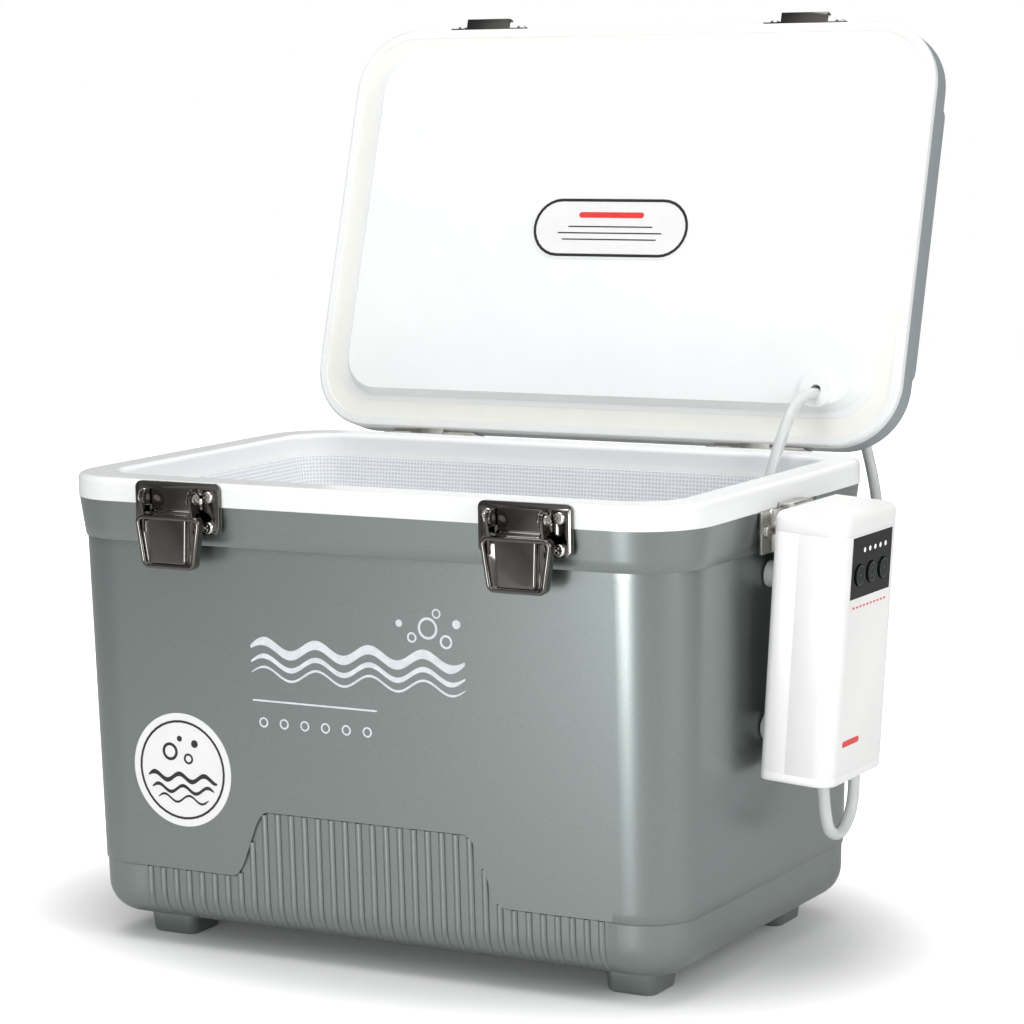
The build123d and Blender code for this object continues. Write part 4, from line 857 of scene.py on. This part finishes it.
shellPiece = makeTubShell(tubShell)
mountPiece(shellPiece, finishes["shellPaint"], "tub", "shell_grey", "outer_shell")
ribs = makeRibs(ribRow, tubShell)
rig.ride(ribs, "tub")
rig.slot(ribs, "shell_grey")
print("tub shell made")


baitNet = {
    "halfX": 156.2, "halfY": 95.2, "corner": 19.2, "top": 229.0, "floor": 50.6, "draft": 4.5,
    "spacing": 6.0,
    "rows": 34, "floorRings": 12, "pull": 0.9, "pullShape": 0.7, "foldShare": 0.6, "dimple": 0.3,
    "cell": 2.0,
}
# the first tone, for the holes, is darker: painted shade of what lies behind the net
netLook = {
    "jitter": 0.06, "hole": (0.30, 0.42), "tones": ((0.84, 0.87, 0.92), (0.90, 0.92, 0.95)),
    "thread": 0.8,
    "rough": (0.7, 0.5), "bump": 0.6, "bumpDepth": 0.3,
}


def makeNetFinish(look):
    # fine knitted mesh: a grid of small holes between pale threads, the holes part see-through and painted a darker
    # grey-blue as painted shade of the gap behind them
    material, tree, shader = newMaterial("netMesh")
    weave = addNode(tree, "ShaderNodeUVMap", uv_map="weave")
    cells = addNode(tree, "ShaderNodeTexVoronoi",
        {"Scale": 1.0, "Randomness": look["jitter"], "Vector": weave.outputs[0]})
    first, last = look["hole"]
    hole = addNode(tree, "ShaderNodeMapRange",
        {"Value": cells.outputs["Distance"], "From Min": first, "From Max": last}).outputs[0]
    # the holes take the darker tone, a painted shade; the threads take the pale one
    ramp = addNode(tree, "ShaderNodeValToRGB", {0: hole})
    for element, tone in zip(ramp.color_ramp.elements, look["tones"]):
        element.color = (*tone, 1)
    thread = addNode(tree, "ShaderNodeMapRange", {"Value": hole, "To Min": look["thread"]})
    first, last = look["rough"]
    rough = addNode(tree, "ShaderNodeMapRange", {"Value": hole, "To Min": first, "To Max": last})
    bump = addNode(tree, "ShaderNodeBump",
        {"Strength": look["bump"], "Distance": look["bumpDepth"] * mm, "Height": hole})
    sockets = {"Base Color": ramp, "Alpha": thread, "Roughness": rough, "Normal": bump}
    for socket, node in sockets.items():
        wire(tree, shader, socket, node.outputs[0])
    return material


def netFold(along, share):
    # soft upright folds, as thin cloth hangs
    return math.sin(along / 17.0 + 1.3 * math.sin(share * 4)) + 0.5 * math.sin(along / 7.3 + share * 3)


def netRings(look, walk, along):
    # rings down the walls, then the floor's, drawn in towards the middle, with the depth of each
    slope = math.tan(math.radians(look["draft"]))
    rows, deep = look["rows"], look["top"] - look["floor"]
    rings, depths = [], []
    for row in range(rows + 1):
        share = row / rows
        height = look["top"] - deep * share
        pull = look["pull"] * math.sin(math.pi * share) ** look["pullShape"]
        ring = []
        for place, (x, y, alongX, alongY) in enumerate(walk):
            fold = 1 + look["foldShare"] * netFold(along[place], share)
            inset = (look["top"] - height) * slope + pull * fold
            ring.append(Vector(((x - inset * alongX) * mm, (y - inset * alongY) * mm, height * mm)))
        rings.append(ring)
        depths.append(deep * row / rows)
    base = rings[-1]
    for step in range(1, look["floorRings"]):
        shrink = 1 - step / look["floorRings"]
        rings.append([Vector((place.x * shrink, place.y * shrink,
            place.z + look["dimple"] * mm * math.sin(place.x * 90 + step))) for place in base])
        depths.append(deep + look["halfY"] * step / look["floorRings"])
    return rings, depths


def layWeave(net, look, along, depths, sides):
    # lays the weave flat: down the walls by length, and across the floor by place
    cell, mesh = look["cell"], net.data
    layer = mesh.uv_layers.new(name="weave")
    for polygon in mesh.polygons:
        corners = [mesh.loops[loop].vertex_index for loop in polygon.loop_indices]
        overSeam = any(vertex % sides == sides - 1 for vertex in corners)
        for loop, vertex in zip(polygon.loop_indices, corners):
            row, side = divmod(vertex, sides)
            if row > look["rows"]:
                spot = mesh.vertices[vertex].co
                layer.data[loop].uv = (spot.x / mm / cell, spot.y / mm / cell)
            else:
                around = along[-1] if side == 0 and overSeam else along[side]
                layer.data[loop].uv = (around / cell, depths[row] / cell)


def makeBaitNet(look):
    walk = outline(look["halfX"], look["halfY"], look["corner"], (look["spacing"], look["spacing"]))
    along = [0.0]
    for first, second in zip(walk, walk[1:] + walk[:1]):
        along.append(along[-1] + math.hypot(second[0] - first[0], second[1] - first[1]))
    rings, depths = netRings(look, walk, along)
    sides, last = len(walk), (len(rings) - 1) * len(walk)
    vertices = [place for ring in rings for place in ring] + [Vector((0, 0, look["floor"] * mm))]
    faces = [face[::-1] for face in ringFaces(len(rings), sides)]
    faces += [(len(vertices) - 1, last + side, last + (side + 1) % sides) for side in range(sides)]
    net = newPiece("baitNet", vertices, faces, 180)
    layWeave(net, look, along, depths, sides)
    return net


netPiece = makeBaitNet(baitNet)
mountPiece(netPiece, makeNetFinish(netLook), "tub", "net", "bait_net")
netArea = sum(polygon.area for polygon in netPiece.data.polygons)
netDeep = baitNet["top"] - baitNet["floor"]
netSpan = (2 * (baitNet["halfX"] + netDeep) * mm, 2 * (baitNet["halfY"] + netDeep) * mm)
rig.sheet(netPiece, flat=netSpan, held="hung", rests_on=["net_frame"], area=netArea)
print("bait net made")


easing = {"steps": 2, "angle": 35.0, "flat": 1.0, "sharp": 50.0}


def softened(node, width, finish, body, slotName):
    # the same shape with its sharp corners eased, as pressed and moulded pieces have
    first, *rest = node.split("_")
    name = first + "".join(word.capitalize() for word in rest)
    mesh = nodes[node].data.copy()
    mesh.name = name
    work = bmesh.new()
    work.from_mesh(mesh)
    bmesh.ops.remove_doubles(work, verts=work.verts, dist=weldGap)
    bmesh.ops.dissolve_limit(work, angle_limit=math.radians(easing["flat"]), verts=work.verts,
        edges=work.edges)
    work.to_mesh(mesh)
    work.free()
    holder = linked(name + "Holder", mesh)
    bevel = holder.modifiers.new("ease", "BEVEL")
    bevel.width = width * mm
    bevel.segments = easing["steps"]
    bevel.limit_method = "ANGLE"
    bevel.angle_limit = math.radians(easing["angle"])
    piece = frozen(holder, name)
    piece.data.shade_smooth()
    piece.data.set_sharp_from_angle(angle=math.radians(easing["sharp"]))
    mountPiece(piece, finishes[finish], body, slotName, node)


softPieces = {
    ("darkSteel", "latch_steel"): {
        "latch_plate_left": (0.45, "tub"), "latch_plate_right": (0.45, "tub"),
        "latch_claw_left": (0.5, "claw_left"), "latch_claw_right": (0.5, "claw_right"),
        "strike_left": (0.3, "lid"), "strike_right": (0.3, "lid"),
    },
    ("brightSteel", "bright_steel"): {
        "hinge_leaves_tub": (0.3, "tub"), "hinge_leaves_lid": (0.3, "lid"), "pump_hanger": (0.3, "tub"),
        "strap_bracket_left": (0.3, "tub"), "strap_bracket_right": (0.3, "tub"),
    },
    ("pumpWhite", "pump_white"): {
        "pump_case_front": (0.35, "tub"), "pump_case_back": (0.35, "tub"),
        "pump_top_cap": (0.35, "tub"), "pump_bottom_cap": (0.6, "tub"),
    },
}
for (softFinish, softSlot), softNodes in softPieces.items():
    for softNode, (softWidth, softBody) in softNodes.items():
        softened(softNode, softWidth, softFinish, softBody, softSlot)
print("hardware softened")


latchLever = {
    "centre": 98.0, "topHalf": 19.75, "bottomHalf": 15.5, "top": 225.5, "bottom": 198.6, "front": -131.1,
    "back": -126.4, "corner": 4.2, "rim": 1.35, "channel": 1.9, "panelTop": 11.6, "panelBottom": 10.6,
    "panelEdge": 1.3, "panelLow": 200.9, "panelCorner": 2.2, "cheekIn": 13.9, "cheekOut": 15.1,
    "pivotY": -128.6, "pivotZ": 234.0, "eyeRadius": 3.7, "rimSteps": 8, "panelSteps": 5, "eyeSteps": 16,
    "lip": 1.2,
}


def roundedLoop(corners, radius, steps=7):
    # points and inward directions round a polygon with eased corners, walked anticlockwise
    loop = []
    for before, here, after in zip(corners[-1:] + corners[:-1], corners, corners[1:] + corners[:1]):
        here = Vector(here)
        inward = (Vector(before) - here).normalized(), (Vector(after) - here).normalized()
        half = inward[0].angle(inward[1]) / 2
        middle = here + (inward[0] + inward[1]).normalized() * radius / math.sin(half)
        first = here + inward[0] * radius / math.tan(half) - middle
        turn = first.angle_signed(here + inward[1] * radius / math.tan(half) - middle)
        for step in range(steps + 1):
            angle = -turn * step / steps
            spoke = Vector((first.x * math.cos(angle) - first.y * math.sin(angle),
                first.x * math.sin(angle) + first.y * math.cos(angle)))
            loop.append((middle + spoke, -spoke.normalized()))
    return loop


def loopPiece(name, loop, rows):
    # lofts a loop through (inset, depth) rows along y, and closes the last
    vertices, sides = [], len(loop)
    for inset, depth in rows:
        for place, inward in loop:
            spot = place + inward * inset
            vertices.append((spot.x * mm, depth * mm, spot.y * mm))
    faces = ringFaces(len(rows), sides)
    faces.append(tuple((len(rows) - 1) * sides + side for side in range(sides)))
    piece = newPiece(name, vertices, faces, 50)
    tidyNormals(piece)
    return piece


def joinPieces(name, pieces):
    work = bmesh.new()
    for piece in pieces:
        work.from_mesh(piece.data)
        bpy.data.objects.remove(piece)
    return pieceFrom(work, name, 50)


def leverCheek(look, side, centre):
    # the side arm that carries the lever on its rivet
    ring = []
    for step in range(look["eyeSteps"] + 1):
        angle = math.pi * step / look["eyeSteps"]
        ring.append((look["pivotY"] - look["eyeRadius"] * math.cos(angle),
            look["pivotZ"] + look["eyeRadius"] * math.sin(angle)))
    ring += [(look["back"] + 2.0, look["top"] - 9.0), (look["front"] + 1.0, look["top"] - 9.0),
        (look["front"] + 1.0, look["top"] - 1.0)]
    xs = (centre + side * look["cheekIn"], centre + side * look["cheekOut"])
    vertices = [(x * mm, y * mm, z * mm) for x in xs for y, z in ring]
    faces = ringFaces(2, len(ring)) + [tuple(range(len(ring)))[::-1],
        tuple(len(ring) + step for step in range(len(ring)))]
    cheek = newPiece("cheek", vertices, faces, 40)
    tidyNormals(cheek)
    return cheek


def makeLever(look, side, name):
    centre = side * look["centre"]
    top, bottom, front, back, rim = look["top"], look["bottom"], look["front"], look["back"], look["rim"]
    corners = [(centre - look["bottomHalf"], bottom), (centre + look["bottomHalf"], bottom),
        (centre + look["topHalf"], top), (centre - look["topHalf"], top)]
    rows = [(look["lip"], back), (0.0, back), (0.0, front + 1.5)]
    for step in range(1, look["rimSteps"] + 1):  # the rolled rim
        angle = math.pi * step / look["rimSteps"]
        rows.append((rim * (1 - math.cos(angle)), front + 1.3 - rim * math.sin(angle)))
    rows += [(2 * rim + 0.15, front + look["channel"]), (2 * rim + 0.7, front + look["channel"] + 0.35)]
    dish = loopPiece("dish", roundedLoop(corners, look["corner"]), rows)
    low = look["panelLow"]
    panelCorners = [(centre - look["panelBottom"], low), (centre + look["panelBottom"], low),
        (centre + look["panelTop"], top - 0.4), (centre - look["panelTop"], top - 0.4)]
    edge = look["panelEdge"]
    rows = [(-0.7, front + look["channel"] + 0.5), (-0.25, front + look["channel"] - 0.1)]
    for step in range(look["panelSteps"] + 1):
        angle = math.pi / 2 * step / look["panelSteps"]
        rows.append((edge * (1 - math.cos(angle)), front + 0.35 + edge * (1 - math.sin(angle))))
    panel = loopPiece("panel", roundedLoop(panelCorners, look["panelCorner"]), rows)
    cheeks = [leverCheek(look, end, centre) for end in (-1, 1)]
    return joinPieces(name, [dish, panel] + cheeks)


for leverSide, leverName in ((-1, "left"), (1, "right")):
    leverPiece = makeLever(latchLever, leverSide, "latchLever" + leverName.capitalize())
    mountPiece(leverPiece, finishes["darkSteel"], "lever_" + leverName, "latch_steel",
        "latch_lever_" + leverName)
print("latch levers made")


wallMarks = {
    "draft": 1.6, "wallTop": 209.1, "wallY": -114.4, "proud": 0.12,
    "waves": [(160.0, 4.6, -62, 60), (152.5, 2.6, -62, 60), (147.0, 1.2, -62, 60)], "waveRise": 3.2,
    "waveLength": 30.5,
    "bubbles": [
        (40, 176, 5.4, 1.2), (50, 170, 3.4, 1.0), (31, 171, 2.6, 0.9), (56, 179, 2.2, 0.0),
        (24, 177.5, 1.8, 0.0), (45, 183.5, 2.4, 0.8),
    ],
    "rule": (-62, 10, 133.0, 0.9), "dots": (6, -56.0, 12.0, 122.0, 2.6),
}
roundSticker = {
    "centre": (-106.0, 93.4), "ring": (25.6, 1.2), "waves": [(-4.0, 2.4), (-10.0, 1.8), (-15.0, 1.2)],
    "waveRise": 1.8, "waveLength": 15.0,
    "bubbles": [(-7, 9, 4.6, 1.5), (4, 6, 2.8, 1.1), (8, 14, 2.0, 0.0), (-1, 16, 1.5, 0.0)],
    "proud": 0.12,
}
lidLabel = {
    "length": 97.2, "width": 34.8, "border": 1.6, "edge": 1.1, "proud": 0.1,
    "bars": [
        (7.2, 40.0, 3.2, "markRed"), (0.6, 52.0, 0.7, "inkBlack"), (-3.0, 64.0, 0.7, "inkBlack"),
        (-6.6, 58.0, 0.7, "inkBlack"),
    ],
}


def ringShape(x, z, radius, band, steps=40):
    # a ring, or a disc where it has no band, as outer and inner loops
    turns = [2 * math.pi * step / steps for step in range(steps)]
    return [[(x + reach * math.cos(turn), z + reach * math.sin(turn)) for turn in turns]
        for reach in ((radius, radius - band) if band else (radius,))]


def waveShape(z, thick, start, end, rise, length, steps=96):
    upper, lower = [], []
    for step in range(steps + 1):
        x = start + (end - start) * step / steps
        middle = z + rise * math.sin(2 * math.pi * (x - start) / length)
        taper = thick / 2 * min(1.0, (1.02 - abs(2 * step / steps - 1)) * 6) ** 0.5
        upper.append((x, middle + taper))
        lower.append((x, middle - taper))
    return [lower + upper[::-1]]


def barShape(x, z, length, thick, steps=8):
    half, radius = length / 2 - thick / 2, thick / 2
    loop = []
    for end, start in ((half, -90), (-half, 90)):
        for step in range(steps + 1):
            angle = math.radians(start + 180 * step / steps)
            loop.append((x + end + radius * math.cos(angle), z + radius * math.sin(angle)))
    return [loop]


printSharp = 30
longLoop = 60  # a loop with more points is a band, closed across its width


def printPiece(name, shapes, place, proud, base):
    # thin printed film: each shape is one loop, or a ring of two, laid on the surface that place() gives
    work = bmesh.new()
    for loops in shapes:
        levels = []
        for depth in (base, proud):
            levels.append([[work.verts.new(place(x, z, depth)) for x, z in loop] for loop in loops])
        count = len(levels[0][0])
        for number in range(len(loops)):
            low, high = levels[0][number], levels[1][number]
            for step in range(len(low)):
                after = (step + 1) % len(low)
                work.faces.new((low[step], low[after], high[after], high[step]))
        for level in levels:
            if len(loops) == 2:
                for step in range(count):
                    after = (step + 1) % count
                    work.faces.new((level[0][step], level[0][after], level[1][after], level[1][step]))
            elif count > longLoop:
                band = level[0]
                for step in range(count // 2 - 1):
                    work.faces.new((band[step], band[step + 1], band[count - 2 - step],
                        band[count - 1 - step]))
            else:
                work.faces.new(level[0])
    bmesh.ops.recalc_face_normals(work, faces=work.faces)
    return pieceFrom(work, name, printSharp)


lidHinge = {"y": 123.95, "z": 236.73, "open": 107.0, "plugFace": 236.3, "labelY": 1.7, "labelThick": 0.3}


def onWall(x, z, depth):
    slope = math.tan(math.radians(wallMarks["draft"]))
    return (x * mm, (wallMarks["wallY"] + (wallMarks["wallTop"] - z) * slope - depth) * mm, z * mm)


def lidPoint(x, y, z):
    # a point of the closed lid, carried to where the open lid holds it
    hinge, turn = lidHinge["y"], math.radians(-lidHinge["open"])
    away, up = y - hinge, z - lidHinge["z"]
    back = hinge + away * math.cos(turn) - up * math.sin(turn)
    high = lidHinge["z"] + away * math.sin(turn) + up * math.cos(turn)
    return (x * mm, back * mm, high * mm)


def onLabel(x, z, depth):
    return lidPoint(x, lidHinge["labelY"] - z, lidHinge["plugFace"] - lidHinge["labelThick"] - depth)


def makeWallMarks(look):
    shapes = [waveShape(z, thick, start, end, look["waveRise"], look["waveLength"])
        for z, thick, start, end in look["waves"]]
    shapes += [ringShape(x, z, radius, band) for x, z, radius, band in look["bubbles"]]
    start, end, height, thick = look["rule"]
    shapes.append(barShape((start + end) / 2, height, end - start, thick))
    count, start, pitch, height, radius = look["dots"]
    shapes += [ringShape(start + pitch * number, height, radius, 0.8) for number in range(count)]
    marks = printPiece("wallMarks", shapes, onWall, look["proud"], -0.1)
    mountPiece(marks, finishes["inkPale"], "tub", "sticker")


def makeStickerMarks(look):
    cx, cz = look["centre"]
    shapes = [ringShape(cx, cz, *look["ring"])]
    for height, thick in look["waves"]:
        reach = math.sqrt(max(0.0, (look["ring"][0] - 3.5) ** 2 - height ** 2)) - 1
        shapes.append(waveShape(cz + height, thick, cx - reach, cx + reach, look["waveRise"],
            look["waveLength"]))
    shapes += [ringShape(cx + x, cz + z, radius, band) for x, z, radius, band in look["bubbles"]]
    marks = printPiece("stickerMarks", shapes, onWall, 0.3 + look["proud"], 0.2)
    mountPiece(marks, finishes["inkBlack"], "tub", "sticker")


def stadium(length, width, steps=14):
    return barShape(0, 0, length, width, steps)[0]


def makeLabelMarks(look):
    outer, inner = [stadium(look["length"] - trim, look["width"] - trim)
        for trim in (2 * look["edge"], 2 * look["edge"] + 2 * look["border"])]
    border = printPiece("labelBorder", [[outer, inner]], onLabel, look["proud"], -0.1)
    mountPiece(border, finishes["inkBlack"], "lid", "sticker")
    for name in ("markRed", "inkBlack"):
        shapes = [barShape(0, z, length, thick) for z, length, thick, ink in look["bars"] if ink == name]
        bars = printPiece("labelBars" + name, shapes, onLabel, look["proud"], -0.1)
        mountPiece(bars, finishes[name], "lid", "sticker")


makeWallMarks(wallMarks)
makeStickerMarks(roundSticker)
makeLabelMarks(lidLabel)
print("marks printed")


pumpFrame = {
    "place": (177.3, 0, 99.7), "lean": 4.0, "depth": 37.2, "buttonZ": 102.2, "proud": 0.8,
    "spacing": 14.3,
}
panelMarks = {
    "ring": (4.7, 0.35), "lift": 0.06, "redDashes": (10, 4.2, 86.5, 2.4, 1.0),
    "redBar": (-12.0, 20.0, 20.0, 3.0),
}


def onPump(x, y, z):
    lean = math.radians(pumpFrame["lean"])
    cx, cy, cz = pumpFrame["place"]
    out = cx + x * math.cos(lean) + z * math.sin(lean)
    high = cz - x * math.sin(lean) + z * math.cos(lean)
    return (out * mm, (cy + y) * mm, high * mm)


def onButton(y, z, depth):
    return onPump(pumpFrame["depth"] + pumpFrame["proud"] + depth, y, z)


def onCase(y, z, depth):
    return onPump(pumpFrame["depth"] + depth, y, z)


def makeButtonMarks(look):
    high = pumpFrame["buttonZ"]
    bar = barShape(0, 0, 3.0, 0.4)
    signs = {-1: [bar], 0: [ringShape(0, 0, 2.3, 0.35)], 1: [bar, bar]}
    for number, letter in ((-1, "a"), (0, "b"), (1, "c")):
        y = number * pumpFrame["spacing"]
        shapes = [ringShape(y, high, *look["ring"])]
        for place, loops in enumerate(signs[number]):
            upright = number == 1 and place == 1
            shapes.append([[(y + (b if upright else a), high + (a if upright else b)) for a, b in loop]
                for loop in loops])
        marks = printPiece("buttonRing" + letter.upper(), shapes, onButton, look["lift"], -0.15)
        mountPiece(marks, finishes["ringGreen"], "power_button_" + letter, "button_black")


def makeCaseMarks(look):
    count, pitch, height, length, thick = look["redDashes"]
    shapes = [barShape((number - (count - 1) / 2) * pitch, height, length, thick)
        for number in range(count)]
    y, height, length, thick = look["redBar"]
    shapes.append(barShape(y, height, length, thick))
    marks = printPiece("caseMarks", shapes, onCase, look["lift"], -0.1)
    mountPiece(marks, finishes["markRed"], "tub", "pump_white")


makeButtonMarks(panelMarks)
makeCaseMarks(panelMarks)
print("pump marks made")


with open("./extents.json", "w") as sizeFile:
    json.dump({"cad": [list(corner) for corner in cadBox], "visual": [list(corner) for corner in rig.bounds()]}, sizeFile)
